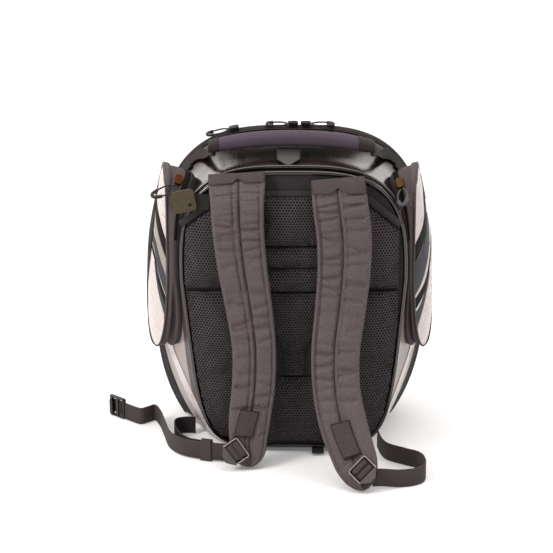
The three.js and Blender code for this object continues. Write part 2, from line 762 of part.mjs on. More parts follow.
function addStrap(side, rows) {
  const places = [...spread(0, STRAP_ROUND_FROM, STRAP_STEPS), ...STRAP_ROUND_STEPS];
  const loops = places.map((along) => strapLoop(rows, along));
  addPiece(`shoulder_strap_${side}`, loft(loops), "weave");
}

// A frame with two slots and, on a ladder lock, a tongue that is lifted to let the webbing out
function slottedFrame(width, length, thickness, bar, tongue) {
  const shape = new THREE.Shape();
  const x = width / 2;
  const y = length / 2;
  shape.moveTo(-x, -y);
  if (tongue) {
    shape.lineTo(-x * TONGUE_END_SHARE, -y - tongue);
    shape.lineTo(x * TONGUE_END_SHARE, -y - tongue);
  }
  shape.lineTo(x, -y);
  shape.absarc(x - LOCK_CORNER, y - LOCK_CORNER, LOCK_CORNER, 0, Math.PI / 2);
  shape.absarc(-x + LOCK_CORNER, y - LOCK_CORNER, LOCK_CORNER, Math.PI / 2, Math.PI);
  const slotLength = (length - 3 * bar) / 2;
  for (const sign of [-1, 1]) {
    const low = (sign * (slotLength + bar)) / 2 - slotLength / 2;
    const high = low + slotLength;
    const slot = shapeFrom([
      [-LOCK_SLOT / 2, low],
      [LOCK_SLOT / 2, low],
      [LOCK_SLOT / 2, high],
      [-LOCK_SLOT / 2, high],
    ]);
    shape.holes.push(slot);
  }
  return plate(shape, thickness);
}

function addStrapEnds() {
  for (const { side, strap, from, to, across, drift, lock, lockAcross, turn } of STRAP_ENDS) {
    addStrap(side, strap);
    const sign = Math.sign(lockAcross);
    const loops = spread(0, 1, TAB_STEPS).map((share) => {
      const frame = strapFrame(strap, from + (to - from) * share);
      const lift = frame.thick / 2 + GAP;
      const middle = across + sign * drift * share;
      const half = WEBBING_WIDTH / 2;
      return [
        onStrap(frame, middle - half, lift),
        onStrap(frame, middle + half, lift),
        onStrap(frame, middle + half, lift + WEBBING_THICKNESS),
        onStrap(frame, middle - half, lift + WEBBING_THICKNESS),
      ];
    });
    addPiece(`strap_tab_${side}`, loft(loops), "webbing");
    const frame = strapFrame(strap, lock);
    const buckle = addPiece(
      `ladder_lock_${side}`,
      slottedFrame(LOCK_WIDTH, LOCK_LENGTH, LOCK_THICKNESS, LOCK_BAR, LOCK_TONGUE),
      "plastic",
    );
    const basis = new THREE.Matrix4().makeBasis(frame.across, frame.tangent.clone().negate(), frame.normal);
    buckle.quaternion.setFromRotationMatrix(basis);
    buckle.rotateZ(THREE.MathUtils.degToRad(turn));
    buckle.position.copy(onStrap(frame, lockAcross, frame.thick / 2 + LOCK_THICKNESS / 2 + LOCK_LIFT));
  }
}

// Webbing on edge along a plan curve
function standingWebbing(rows, steps) {
  const curve = new THREE.CatmullRomCurve3(rows.map(({ x, depth, z }) => new THREE.Vector3(x, depth, z)));
  const half = WEBBING_WIDTH / 2;
  const loops = spread(0, 1, steps).map((at) => {
    const middle = curve.getPoint(at);
    const tangent = curve.getTangent(at).setZ(0).normalize();
    const side = new THREE.Vector3(tangent.y, -tangent.x, 0).multiplyScalar(WEBBING_THICKNESS / 2);
    const tall = new THREE.Vector3(0, 0, half);
    return [
      middle.clone().add(side).sub(tall),
      middle.clone().add(side).add(tall),
      middle.clone().sub(side).add(tall),
      middle.clone().sub(side).sub(tall),
    ];
  });
  return loft(loops);
}

function addWebbing() {
  addPiece("webbing_left", standingWebbing(WEBBING_LEFT, 38), "webbing");
  addPiece("webbing_anchor_left", standingWebbing(ANCHOR_LEFT, 22), "webbing");
  addPiece("webbing_right", standingWebbing(WEBBING_RIGHT, 28), "webbing");
  const keeperShape = roundedRectangle(KEEPER.thick, KEEPER.tall, KEEPER_CORNER);
  keeperShape.holes.push(roundedRectangle(KEEPER_SLOT.thick, KEEPER_SLOT.tall, KEEPER_CORNER / 2));
  const keeper = addPiece("web_keeper_left", plate(keeperShape, KEEPER.length), "webbing");
  keeper.rotation.order = "ZYX";
  keeper.rotation.set(Math.PI / 2, 0, Math.PI / 2 + THREE.MathUtils.degToRad(KEEPER.turn));
  keeper.position.set(KEEPER.x, KEEPER.depth, KEEPER.z);
  const glide = addPiece(
    "tri_glide_left",
    slottedFrame(TRI_GLIDE.tall, TRI_GLIDE.length, TRI_GLIDE.thick, TRI_GLIDE.bar, 0),
    "plastic",
  );
  glide.rotation.order = "ZYX";
  glide.rotation.set(Math.PI / 2, 0, THREE.MathUtils.degToRad(TRI_GLIDE.turn));
  glide.rotateZ(Math.PI / 2);
  glide.position.set(TRI_GLIDE.x, TRI_GLIDE.depth, TRI_GLIDE.z);
  const tab = new THREE.BoxGeometry(BASE_TAB.width, BASE_TAB.to - BASE_TAB.from, BASE_TAB.thick);
  addPiece("base_tab", tab, "webbing").position.set(BASE_TAB.x, (BASE_TAB.from + BASE_TAB.to) / 2, BASE_TAB.z);
}

// Pockets

function pocketRim(angle, share = 1) {
  const power = 2 / POCKET.power;
  const round = (value) => Math.sign(value) * Math.abs(value) ** power;
  return {
    depth: POCKET.depth + share * POCKET.reach * round(Math.cos(angle)),
    z: POCKET.middleZ + share * POCKET.halfZ * round(Math.sin(angle)),
  };
}

function pocketEdgeX(depth, z) {
  const share = (depth - POCKET.depth + POCKET.reach) / (2 * POCKET.reach);
  const { edge, flare } = tableRow(POCKET_EDGE, "z", z);
  return edge + flare * share;
}

function pocketAngles() {
  return spread(0, 2 * Math.PI, POCKET_STEPS).slice(0, POCKET_STEPS);
}

// The gusset runs from the shell (across 0) out to the face's edge (across 1), with a fold towards its foot.
function gussetPoint(sign, angle, across, inward) {
  const { depth, z } = pocketRim(angle);
  const ahead = pocketRim(angle + 0.01);
  const behind = pocketRim(angle - 0.01);
  const run = new THREE.Vector2(ahead.depth - behind.depth, ahead.z - behind.z).normalize();
  const low = smoothStep((POCKET_FOLD.top - z) / POCKET_FOLD.fade);
  const crease = low * POCKET_FOLD.depth * Math.exp(-(((across - 0.5) / POCKET_FOLD.width) ** 2));
  const out = POCKET_FOLD.lobe * Math.sin(Math.PI * across) - crease - inward;
  const droop = POCKET.droop * (1 - across) * Math.max(Math.sin(angle), 0) ** 2;
  const at = { depth: depth + run.y * out, z: z - run.x * out - droop };
  const inner = sideX(sign, at.depth, at.z) + sign * POCKET.standoff;
  const x = THREE.MathUtils.lerp(inner, sign * pocketEdgeX(depth, z), across);
  return new THREE.Vector3(x, at.depth, at.z);
}

function pocketGusset(sign) {
  const line = (across, inward) => pocketAngles().map((angle) => gussetPoint(sign, angle, across, inward));
  const level = (inward) => [0, 0.28, 0.5, 0.72, 1].map((across) => line(across, inward));
  return wall(level(0), level(CLOTH), { ring: true });
}

function pocketFace(sign) {
  const shares = [1.02, 0.88, 0.64, 0.34];
  const point = (angle, share, lift) => {
    const { depth, z } = pocketRim(angle, share);
    const dome = POCKET.dome * Math.max(1 - share * share, 0);
    return new THREE.Vector3(sign * (pocketEdgeX(depth, z) + GAP + dome + lift), depth, z);
  };
  const level = (lift) => shares.map((share) => pocketAngles().map((angle) => point(angle, share, lift)));
  return wall(level(CLOTH), level(0), { ring: true, capped: [point(0, 0, CLOTH), point(0, 0, 0)] });
}

function addPockets() {
  for (const [side, sign] of [["left", -1], ["right", 1]]) {
    addPiece(`pocket_gusset_${side}`, pocketGusset(sign), "gusset");
    addPiece(`pocket_face_${side}`, pocketFace(sign), "white");
  }
}

// Handle and patch

function addHandle() {
  const squared = (value) => Math.sign(value) * Math.abs(value) ** HANDLE_SQUARENESS;
  const loops = spread(-1, 1, HANDLE_STEPS).map((u) => {
    const z = HANDLE.endZ + HANDLE.rise * (1 - u * u);
    const taper = 1 - HANDLE_NARROWING * Math.abs(u) ** 6;
    return spread(0, 2 * Math.PI, HANDLE_SIDES)
      .slice(0, HANDLE_SIDES)
      .map((angle) => {
        const deep = HANDLE.halfDeep * squared(Math.cos(angle));
        const tall = HANDLE.halfTall * taper * squared(Math.sin(angle));
        return new THREE.Vector3(HANDLE.middleX + HANDLE.endX * u, HANDLE.depth + deep, z + tall);
      });
  });
  addPiece("carry_handle", loft(loops), "neoprene");
  const surface = (depth, arc) => bodyPoint(depth, arc);
  for (const [side, sign] of [["left", -1], ["right", 1]]) {
    const spots = HANDLE_TAB.map(({ arc, front, back }) => [front, back].map((depth) => [depth, sign * arc]));
    const lift = (_, arc) => tableRow(HANDLE_TAB, "arc", Math.abs(arc)).lift;
    addPiece(`handle_tab_${side}`, sheetOn(surface, spots, lift, WEBBING_THICKNESS), "webbing");
  }
  const patch = SHIELD.map(({ depth, half }) => [-half, 0, half].map((arc) => [depth, arc + SHIELD_SET]));
  addPiece("shield_patch", sheetOn(surface, patch, () => PATCH_LIFT, CLOTH), "rubber");
}

// Sliders, pulls and tether

function sliderGeometry() {
  const shape = roundedRectangle(SLIDER.length, SLIDER.width, SLIDER.width * 0.35);
  return plate(shape, SLIDER.height);
}

// A cord loop with a moulded grip over its far part, lying in its own plane along +X
function pullGeometry(length) {
  const half = PULL.spread;
  const route = [
    [0, 0.3 * half],
    [0.3 * length, half],
    [0.72 * length, 0.9 * half],
    [0.95 * length, 0.5 * half],
    [length, 0],
    [0.95 * length, -0.5 * half],
    [0.72 * length, -0.9 * half],
    [0.3 * length, -half],
    [0, -0.3 * half],
  ].map(([x, y]) => new THREE.Vector3(x, y, 0));
  const cord = tube(new THREE.CatmullRomCurve3(route), PULL.cord, PULL.sides, PULL.steps);
  const grip = tube(new THREE.CatmullRomCurve3(route.slice(2, -2)), PULL.tip, PULL.sides, PULL.tipSteps);
  return join(cord, grip);
}

function place(mesh, origin, along, up) {
  const side = up.clone().cross(along).normalize();
  const flat = side.clone().cross(up).normalize();
  mesh.quaternion.setFromRotationMatrix(new THREE.Matrix4().makeBasis(flat, side, up));
  mesh.position.copy(origin);
}

function addZipPulls() {
  const depth = RIM_DEPTH + ZIP_WIDTH / 3;
  const surface = (at, arc) => bodyPoint(at, arc);
  for (const { name, arc, lies, length } of ZIP_PULLS) {
    const normal = outwardNormal(surface, depth, arc, INSIDE);
    const along = bodyPoint(depth, arc + lies).sub(bodyPoint(depth, arc)).normalize();
    const rise = zipBulge(depth) + SLIDER.height / 2 + SEAT_LIFT;
    const seat = bodyPoint(depth, arc).addScaledVector(normal, rise);
    place(addPiece(`zip_slider_${name}`, sliderGeometry(), "plastic"), seat, along, normal);
    const start = seat.clone().addScaledVector(along, SLIDER.length / 2 + 2 * GAP);
    place(addPiece(`zip_pull_${name}`, pullGeometry(length), "cord"), start, along, normal);
  }
  for (const { name, side, angle, share, lean, swing, length } of POCKET_PULLS) {
    const gusset = (row, column) => gussetPoint(side, row / SEAT_SCALE, column / SEAT_SCALE, 0);
    const at = [angle * SEAT_SCALE, share * SEAT_SCALE];
    const middle = new THREE.Vector3(side * POCKET_EDGE[0].edge, POCKET.depth, POCKET.middleZ);
    const normal = outwardNormal(gusset, ...at, middle);
    const down = gusset(at[0] + 1, at[1]).sub(gusset(...at)).normalize();
    const seat = gusset(...at).addScaledVector(normal, SLIDER.height / 2 + SEAT_LIFT);
    place(addPiece(`pocket_slider_${name}`, sliderGeometry(), "brass"), seat, down, normal);
    const hinge = normal.clone().cross(down);
    const facing = normal.clone().applyAxisAngle(hinge, -THREE.MathUtils.degToRad(lean));
    const leant = down.clone().applyAxisAngle(hinge, -THREE.MathUtils.degToRad(lean));
    const hang = leant.applyAxisAngle(facing, THREE.MathUtils.degToRad(swing));
    const start = seat.clone().addScaledVector(down, SLIDER.length / 2 + PULL.cord + 3 * GAP);
    place(addPiece(`pocket_pull_${name}`, pullGeometry(length), "cord"), start, hang, facing);
  }
}

function addTether() {
  const shape = roundedRectangle(TETHER.width, TETHER.height, 5);
  const eye = new THREE.Path();
  eye.absarc(TETHER.width * 0.24, -TETHER.height * 0.22, TETHER.eye, 0, 2 * Math.PI);
  shape.holes.push(eye);
  const tab = addPiece("tether_tab", plate(shape, TETHER.thick).rotateX(Math.PI / 2), "olive");
  tab.position.set(TETHER.x, TETHER.depth, TETHER.z);
  tab.rotation.y = THREE.MathUtils.degToRad(TETHER.lean);
  const length = TETHER_STRAP.to - TETHER_STRAP.from;
  const strap = new THREE.BoxGeometry(length, TETHER_STRAP.thick, 2 * TETHER_STRAP.half);
  const middle = TETHER_STRAP.from + length / 2;
  addPiece("tether_strap", strap, "webbing").position.set(middle, TETHER_STRAP.depth, TETHER_STRAP.z);
}

addShell();
addZipBand();
addLid();
addBack();
addPads();
addStrapEnds();
addWebbing();
addPockets();
addHandle();
addZipPulls();
addTether();

export default bag;
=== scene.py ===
"""Looks of a motorcycle tank bag that stands on its narrow end with its harness towards the viewer.

Sizes are in millimetres until they are put into meshes. Points are (x, depth, z), where depth is measured
behind the seam of the padded back, and the base's middle lies at BASE_MIDDLE_DEPTH.
"""

import functools
import itertools
import math

import bpy
import numpy as np
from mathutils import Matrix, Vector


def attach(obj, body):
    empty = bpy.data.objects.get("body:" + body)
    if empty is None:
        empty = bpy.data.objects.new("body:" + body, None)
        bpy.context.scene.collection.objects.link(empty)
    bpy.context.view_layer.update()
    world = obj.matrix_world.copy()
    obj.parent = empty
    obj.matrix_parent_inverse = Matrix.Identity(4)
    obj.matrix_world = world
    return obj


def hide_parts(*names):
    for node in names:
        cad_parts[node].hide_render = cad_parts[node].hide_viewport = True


# Directions, sides and small steps
UP = np.array([0.0, 0.0, 1.0])
FACING = np.array([0.0, -1.0, 0.0])
SIDES = {"left": -1, "right": 1}
TURN = 2 * math.pi
NEARBY = 0.01
TINY = 1e-9

# Frame and shell
MM = 0.001
BASE_MIDDLE_DEPTH = 88
GAP = 0.3
CLOTH = 2
RIM_DEPTH = 100
ZIP_WIDTH = 12
ZIP_BULGE = 3
ZIP_END_RISE = 8
LID_DEPTH = 200
LID_CROWN = 4
LID_FLOOR = 3.6
LID_SHOULDER = (180, 182)
LID_RINGS = (0.8, 0.6, 0.4, 0.2, 0.0005)
PIPING_RADIUS = 2.4
YOKE_ARC = 138
BASE_EDGE_RISE = 0.5
INSIDE = np.array([0, 90, 180])
OUTLINE_STEPS = 160


def table(columns, *rows):
    return [dict(zip(columns.split(), row)) for row in rows]


def both(columns, left, right):
    return dict(zip(SIDES, table(columns, left, right)))


# Outline of the shell at each depth: half width at the widest height, crown, and foot
BODY = table(
    "depth widest widest_z crown_z crown_power foot_z foot_power taper",
    (0, 128.5, 215, 342, 3.3, 8, 6, 0.155),
    (20, 133, 205, 349, 3.1, -8, 4.5, 0.11),
    (50, 144, 188, 352, 3.1, -28, 3.2, 0.055),
    (75, 152, 168, 358, 3.1, -44, 2.6, 0.03),
    (100, 161, 150, 370, 3.15, -60, 2.25, 0),
    (114, 162, 150, 371, 3.2, -58, 2.25, 0),
    (150, 157, 152, 363, 3.0, -40, 2.3, 0),
    (180, 141, 160, 340, 2.7, -6, 2.3, 0),
    (200, 104, 172, 296, 2.4, 46, 2.3, 0),
)
SWAY_HEIGHT = 350
SWAY_BACK = (6, 2)
SWAY_RIM = (-2, 4)

# Shoulder straps from the top seam to the rounded end: middle line, half width and thickness
STRAPS = {
    "left": table(
        "x depth z half thick",
        (-61, -3.9, 342, 32, 4),
        (-60.5, -13.5, 332, 31.5, 6),
        (-60, -21, 312, 30, 11),
        (-59, -22, 280, 29, 11),
        (-55, -23, 240, 28, 11),
        (-47.5, -25, 190, 26.5, 11),
        (-42, -28.5, 145, 25.2, 11),
        (-42.5, -34, 100, 25, 11),
        (-47.5, -40, 56, 24, 10),
        (-49, -45, 25, 21, 9),
        (-47.5, -49.5, 3.6, 20, 6),
    ),
    "right": table(
        "x depth z half thick",
        (52.5, -3.9, 336, 30, 4),
        (53.2, -13.5, 328, 30.5, 6),
        (55.5, -21, 308, 31, 11),
        (60, -22, 272, 31, 11),
        (60, -24.5, 232, 30, 11),
        (56, -32, 188, 28.8, 11),
        (51, -43, 145, 27.6, 11),
        (52, -58, 103, 27, 11),
        (60, -76, 66, 27, 10),
        (72, -94, 34, 25, 9),
        (83.5, -111.5, 4.2, 23, 6),
    ),
}
STRAP_STEPS = 1001
STRAP_EDGE = 1.4
STRAP_PAD = 4.1
STRAP_ROUND_FROM = 0.9
STRAP_TIP_SHARE = 0.15
STRAP_BACK_POWER = 4
EDGE_POWER = 8

# Height of the padded front across each strap, edge to edge: outer channel, seam, inner channel, roll
STRAP_PROFILES = {
    "left": table(
        "u height",
        (-1, 0), (-0.95, 0.42), (-0.84, 0.76), (-0.5, 1), (-0.26, 0.82), (-0.17, 0.34), (-0.09, 0.95),
        (-0.02, 0.7), (0.04, 0), (0.08, 0), (0.14, 0.6), (0.25, 0.9), (0.5, 1), (0.74, 0.8),
        (0.83, 0.3), (0.92, 0.88), (1, 0),
    ),
    "right": table(
        "u height",
        (-1, 0), (-0.92, 0.88), (-0.83, 0.28), (-0.73, 0.82), (-0.42, 1), (-0.17, 0.8), (-0.08, 0),
        (-0.04, 0), (0.01, 0.4), (0.08, 0.44), (0.14, 0.4), (0.24, 0.84), (0.5, 1), (0.8, 0.8),
        (0.94, 0.42), (1, 0),
    ),
}

# Stitching along the seam: its place across the strap, its rows along it and its radius
STRAP_SEAMS = {"left": 0.06, "right": -0.06}
SEAM_ROWS = slice(20, 275)
SEAM_RADIUS = 0.7

# Creases across the straps: place along, slant, span across, depth and half length along
STRAP_CREASES = {
    "left": table(
        "at slant start end deep half",
        (0.075, 0.01, -1, 1, 2.2, 3),
        (0.285, 0.012, -1, -0.1, 2, 2.4),
        (0.3, -0.004, 0.1, 0.9, 1, 3),
        (0.36, 0.02, -0.9, 0, 0.7, 5),
        (0.405, -0.03, 0.1, 1, 0.9, 4),
        (0.462, 0.006, -0.9, 0.9, 1.4, 3),
        (0.5, 0.012, -1, -0.1, 0.8, 3),
        (0.56, -0.02, 0.1, 0.9, 0.8, 4),
        (0.6, 0.012, -1, -0.2, 0.9, 3),
        (0.67, -0.012, -0.8, 0.8, 0.7, 5),
        (0.74, 0.02, 0.2, 1, 0.8, 4),
        (0.87, -0.04, 0.4, 1, 1.2, 3),
    ),
    "right": table(
        "at slant start end deep half",
        (0.1, 0.02, -1, 1, 1.6, 3.5),
        (0.315, 0.03, -0.9, 0.95, 1.6, 2.4),
        (0.352, -0.014, -0.85, 1, 1.5, 2.6),
        (0.41, -0.02, -0.8, -0.1, 0.9, 3.4),
        (0.44, 0.02, 0.2, 1, 0.8, 4),
        (0.52, 0.012, -1, 0, 0.9, 3.4),
        (0.56, -0.03, 0.2, 1, 0.9, 4),
        (0.62, 0.02, -0.9, -0.1, 1, 3),
        (0.66, -0.014, 0.2, 1, 0.8, 3.4),
        (0.73, 0.01, -0.9, 0.9, 0.9, 3.4),
        (0.9, -0.02, -1, 0, 0.8, 3),
    ),
}
CREASE_STRENGTH = 1.7
CREASE_FADE = 0.25

# Puckers that the seam pulls into both channels of a strap; the phases keep them from looking alike
PUCKERS = {
    "count": 22, "from": 0.14, "to": 0.77, "deep": 3.4, "half": 2.3, "slant": 0.012, "jitter": 0.008,
    "share": 0.6, "seam": 0.05, "seam_fade": 0.15, "edge_fade": 0.3,
    "phase": 2.3, "slant_phase": 1.7, "deep_phase": 3.1,
}

# Cloth folded over the strap tops: its lower edge, slant, notch at the seam, filling and lift
STRAP_FOLDS = both(
    "to slant notch seam fill lift",
    (0.1, -0.004, 0.035, 0.06, 0.6, 2.4),
    (0.14, 0.012, 0.03, -0.02, 0.6, 2),
)
FOLD_NOTCH_WIDTH = 0.16

# Webbing patches on the strap ends: span and place across; and the ladder locks: place and turn
STRAP_TABS = both(
    "from to across drift lock aside turn",
    (0.765, 0.85, -1, -5, 0.905, -13.5, -56),
    (0.787, 0.893, -3, 2, 0.94, 5, 26),
)
PANEL_INSET = 0.035
PANEL_RIM = 2.6
PANEL_LIFT = 0.5
LOCK_THICKNESS = 4.5
LOCK_LIFT = 0.9
LOCK_SLOT = 22.8
LOCK_WIDTH = 27
LOCK_LENGTH = 20
LOCK_CORNER = 2
LOCK_BEND = (0, 0.3, 1)
LOCK_TONGUE = 8
TONGUE_END_SHARE = 0.3
TONGUE_INSET = 0.8
PLATE_START = -8.4
LOCK_HIGHLIGHT_RADIUS = 0.6
LOCK_BANDS = (4.1, -3.7)
LOCK_BAND_LENGTH = 6.5
LOCK_BAND_HEIGHT = 2.8
LOCK_BAND_SQUARENESS = 0.55

# Webbing that stands on its edge on the floor: x, depth and height along each band
WEBBING_WIDTH = 22
WEBBING_THICKNESS = 1.8
WEBBING = {
    "webbing_left": (
        (-72, -31.5, 13.2), (-86, -28.6, 13.2), (-99, -25.2, 13.1), (-112, -20.8, 12.6),
        (-129, -11, 12.1), (-143, 8, 11.5), (-152, 42, 11.5), (-160, 74, 11.5), (-168, 90, 12),
        (-176, 84, 12), (-184, 80, 11.5), (-196, 88, 11.5), (-205.5, 96.5, 11.5),
    ),
    "webbing_anchor_left": (
        (-115.2, 50.5, 12.5), (-128, 53, 11.5), (-138, 48, 11.5), (-139, 32, 11.5), (-131, 6, 11.5),
        (-119, -12.8, 12.7), (-108, -18.4, 13.1), (-98, -21.9, 13.1), (-91, -23.8, 13.1),
    ),
    "webbing_right": (
        (104.8, 7, 13.5), (108, -11, 12), (114, -24, 11.5), (133, -38, 11.5), (149, -49, 11.5),
        (154, -64, 11.5), (152, -82, 11.5), (142, -92, 11.5), (124, -97, 11.5), (101.5, -101, 14.5),
        (92, -101.5, 14.5),
    ),
}

# Webbing round the glide at the left end: distance past the band's end, and distance in front of it
GLIDE_WRAP = (
    (5, -3.6), (8.4, -1), (11.5, 3.4), (16, 4.2), (21, 4.2),
    (25.6, 2.6), (26.6, 0), (25.2, -2.6), (20, -3.8),
)
GLIDE_WIDTH = 18

# Back padding: heights, thickness and half widths
PAD_EDGE = 2
PAD_MARGIN = 3.6
PAD_ROWS = 45
PAD_COLUMNS = 37
PAD_BACK_COLUMNS = 9
PAD_START = 0.8
PAD_POWER = 3
SWELL_QUALITY = 6
SWELL_PRESSURE = 4
SWELL_GROWTH = 0.03
SWELL_STEPS = 20
SWELL_MOST = 5
COLUMN_EDGE = 38
NECK_SHARE = 0.25
CORNER_CUT = {"x": 124, "z": 274, "slope": 1.25}
SIDE_PADS = {"pad_upper": (207, 312, 13), "pad_lower": (20.6, 203, 13)}
CENTRE_PADS = {
    "pad_centre_top": (257, 314, 9, 35, 35),
    "pad_rib_upper": (231, 255, 9, 35, 35),
    "pad_rib_lower": (202, 229, 9, 35, 35),
    "pad_centre_middle": (99, 200, 8, 33, 12),
    "pad_centre_low": (15, 96, 10, 34, 30),
}

# Side pockets
POCKET = {"depth": 54, "reach": 41, "z": 228.5, "half_z": 109.5, "power": 2.3, "dome": 12, "droop": 18}
POCKET_STANDOFF = 0.8
FACE_RINGS = (1.02, 1, 0.95, 0.88, 0.8, 0.7, 0.6, 0.5, 0.4, 0.3, 0.2, 0.1, 0.01)
POCKET_EDGE = table(
    "z edge flare",
    (118, 146, 30),
    (150, 144, 29),
    (200, 142, 24),
    (250, 141, 20),
    (300, 140, 14),
    (340, 139, 12),
)
POCKET_FOLD = {"top": 218, "fade": 60, "depth": 7, "width": 0.14, "lobe": 3}

# Strips on the pocket faces: depth, and the heights of the strip's upper and lower edge
# The swoosh, its slate band and the line are sewn on; the silver strip is a painted highlight and the slate
# below the line is painted shade
FACE_STRIP_VINYLS = {
    "swoosh": "ink_vinyl",
    "swoosh_painted_highlight": "silver_vinyl",
    "swoosh_shade": "slate_vinyl",
    "line": "ink_vinyl",
    "line_painted_shade": "slate_vinyl",
}
FACE_STRIPS = {
    "left": {
        "swoosh": ((76, 320, 318), (55, 304, 298), (40, 293, 281), (28, 281, 264), (13, 259, 238)),
        # Painted highlight: a silver strip below the swoosh
        "swoosh_painted_highlight": ((55, 297, 290), (40, 280, 268), (28, 263, 246), (13, 237, 216)),
        "swoosh_shade": ((60, 276, 262), (45, 266, 252), (34, 254, 240), (27, 244, 220), (13, 215, 190)),
        "line": ((60, 258, 256), (45, 248, 243), (34, 237, 229), (27, 217, 207), (13, 187, 173)),
        # Painted shade: a slate strip below the line
        "line_painted_shade": ((34, 228, 224), (27, 206, 194), (20, 190, 172), (13, 172, 148)),
    },
    "right": {
        "swoosh": ((76, 322, 318), (58, 312, 300), (46, 302, 282), (36, 280, 262), (13, 254, 230)),
        "swoosh_shade": ((52, 282, 270), (46, 281, 246), (36, 261, 224), (26, 246, 206), (13, 229, 190)),
        "line": ((74, 262, 258), (56, 248, 240), (44, 226, 216), (32, 204, 192), (13, 186, 170)),
        # Painted shade: a slate strip below the line
        "line_painted_shade": ((44, 215, 208), (32, 191, 176), (22, 174, 148), (13, 168, 120)),
    },
}

# Rear band of the pocket faces: height, and its near and far depth
FACE_REAR_BANDS = {
    "left": (
        (322, 72, 74), (306, 54, 75), (280, 43, 75), (249, 42, 75), (215, 51, 76), (193, 60, 77),
        (166, 66, 76), (140, 72, 73),
    ),
    "right": ((324, 64, 80), (306, 58, 88), (296, 66, 93), (284, 92, 94)),
}
STRIP_LIFT = 0.35

# Bindings round the faces: angles, share of the face, lift, radius and material
BINDING_TAPER = 0.5
BINDING_END = 1.2
BINDINGS = (
    ("far_binding", -1.8, 1.4, 1.02, -1, 2.1, "ink_vinyl"),
    ("near_binding", 1.4, 4.48, 1.02, -1, 1.2, "gusset_tape"),
    ("top_roll", 0.8, 2.5, 0.98, -4.4, 5, "gusset_tape"),
)

# White stripe, dark strip of painted shade by the seam, and dark rim strip on the side panels: height, and
# near and far depth
SIDE_STRIPE = (
    (132, 70, 90), (110, 55, 79), (90, 38, 64), (70, 24, 50),
    (50, 10, 38), (30, 6, 26), (8, 6, 18),
)
SEAM_SHADE_STRIPS = {"left": (2.7, 21), "right": (2.7, 9)}
SEAM_SHADE_HEIGHTS = (12, 300)
RIM_STRIP = ((150, 93, 99.6), (120, 90, 99.6), (80, 84, 99.6), (50, 78, 99.6), (12, 70, 99.6))

# Dark cloth between the pockets and the yoke, by depth and by arc from the crown
EDGE_STRIP = {"front": 84, "back": 99.5, "from": 128, "to": 152}

# Dark cloth at the pocket corners, and a black sheet of painted shade where the gusset folds in at its top:
# angles, span across the gusset, lift and material
CORNER_TABS = (
    ("strip", 1.1, 2.3, 0, 0.3, 1.6, "tab_nylon"),
    ("painted_gusset_shade", 1.15, 2.9, 0.3, 0.5, 0.6, "ink_vinyl"),
)

# Ribbons on the padded back: height of the level one, and the sloping ones beside the cut corners
TOP_RIBBON = {"z": 318.5, "half_length": 38, "width": 7}
CORNER_RIBBON = {"low": 277, "high": 309, "aside": 5, "width": 8}
RIBBON_LIFT = 1.6

# Handle, its tabs and the blank patch
HANDLE = {
    "x": 1, "depth": 50, "end_x": 95, "end_z": 361, "rise": 10, "half_tall": 8.3, "half_deep": 12.5,
    "end_loss": 0.35, "end_power": 6, "squareness": 0.7,
}
HANDLE_TAB = table(
    "arc front back lift",
    (86, 43, 59, 12.7),
    (95, 56, 71, 10.5),
    (104, 69, 86, 5.5),
    (113, 81, 97, 1.8),
    (122, 86, 98.5, 0.7),
    (131, 87, 98.5, 0.7),
)
SLEEVE = {"left": 0.88, "right": 0.81, "to": 1.004, "grow": 0.7}
PATCH_LIFT = 0.6
SHIELD_SET = -5
SHIELD_TILT = 6.5
SHIELD = table("depth half", (11, 1.5), (21, 13), (33, 13.5), (46, 13.5))

# Zip sliders and cord pulls: place, the way each pull lies or hangs, and its length
ZIP_PULLS = {"left": (-70, -1, 26), "centre": (-1, -1, 24), "right": (14, 1, 26)}
POCKET_PULLS = both("angle share lean swing length", (2.03, 0.66, 16, -46, 34), (2.05, 0.48, 37, 0, 38))
POCKET_FINISHES = {"left": ("copper", "dark_cord"), "right": ("brass", "cord_braid")}
SLIDER_LENGTH = 12
SLIDER_HEIGHT = 4.5
SEAT_LIFT = 0.15
CORD_RADIUS = 1
GRIP_RADIUS = 2.1
PULL_SPREAD = 5.5
PULL_ROUTE = (
    (0, 0.3), (0.3, 1), (0.72, 0.9), (0.95, 0.5), (1, 0),
    (0.95, -0.5), (0.72, -0.9), (0.3, -1), (0, -0.3),
)

# Rounded edges of the moulded and folded pieces
BEVELS = {
    "lock": 1.1, "keeper": 0.5, "glide": 1, "foot_tab": 0.6, "slider": 1.2, "olive_tab": 1.2, "tether": 0.5,
}
BEVEL_SEGMENTS = 3
TUBE_RESOLUTION = 4

# Points along and across each kind of piece
SHELL_ROWS = 40
YOKE_COLUMNS = 121
SIDE_COLUMNS = 90
SIDE_STRIP_STEPS = (61, 25)
PATCH_STEPS = (33, 17)
ZIP_STEPS = (13, 361)
LID_STEPS = (24, 12, 192)
PIPING_STEPS = (240, 121)
RIBBON_STEPS = 25
STRAP_ROWS = 341
STRAP_COLUMNS = (81, 25)
FOLD_STEPS = (17, 49)
TAB_STEPS = 33
PLATE_STEPS = (9, 17)
LOCK_BAND_STEPS = (17, 24)
WEBBING_STEPS = 161
WEBBING_EDGE_STEPS = 5
GLIDE_STEPS = 49
POCKET_STEPS = (25, 160)
BINDING_STEPS = 121
CORNER_STEPS = (41, 13)
FACE_STRIP_STEPS = (41, 13)
REAR_BAND_STEPS = (61, 21)
HANDLE_STEPS = (97, 40)
SLEEVE_STEPS = 17
HANDLE_TAB_STEPS = (33, 13)
SHIELD_STEPS = (25, 15)
PULL_STEPS = (65, 33)

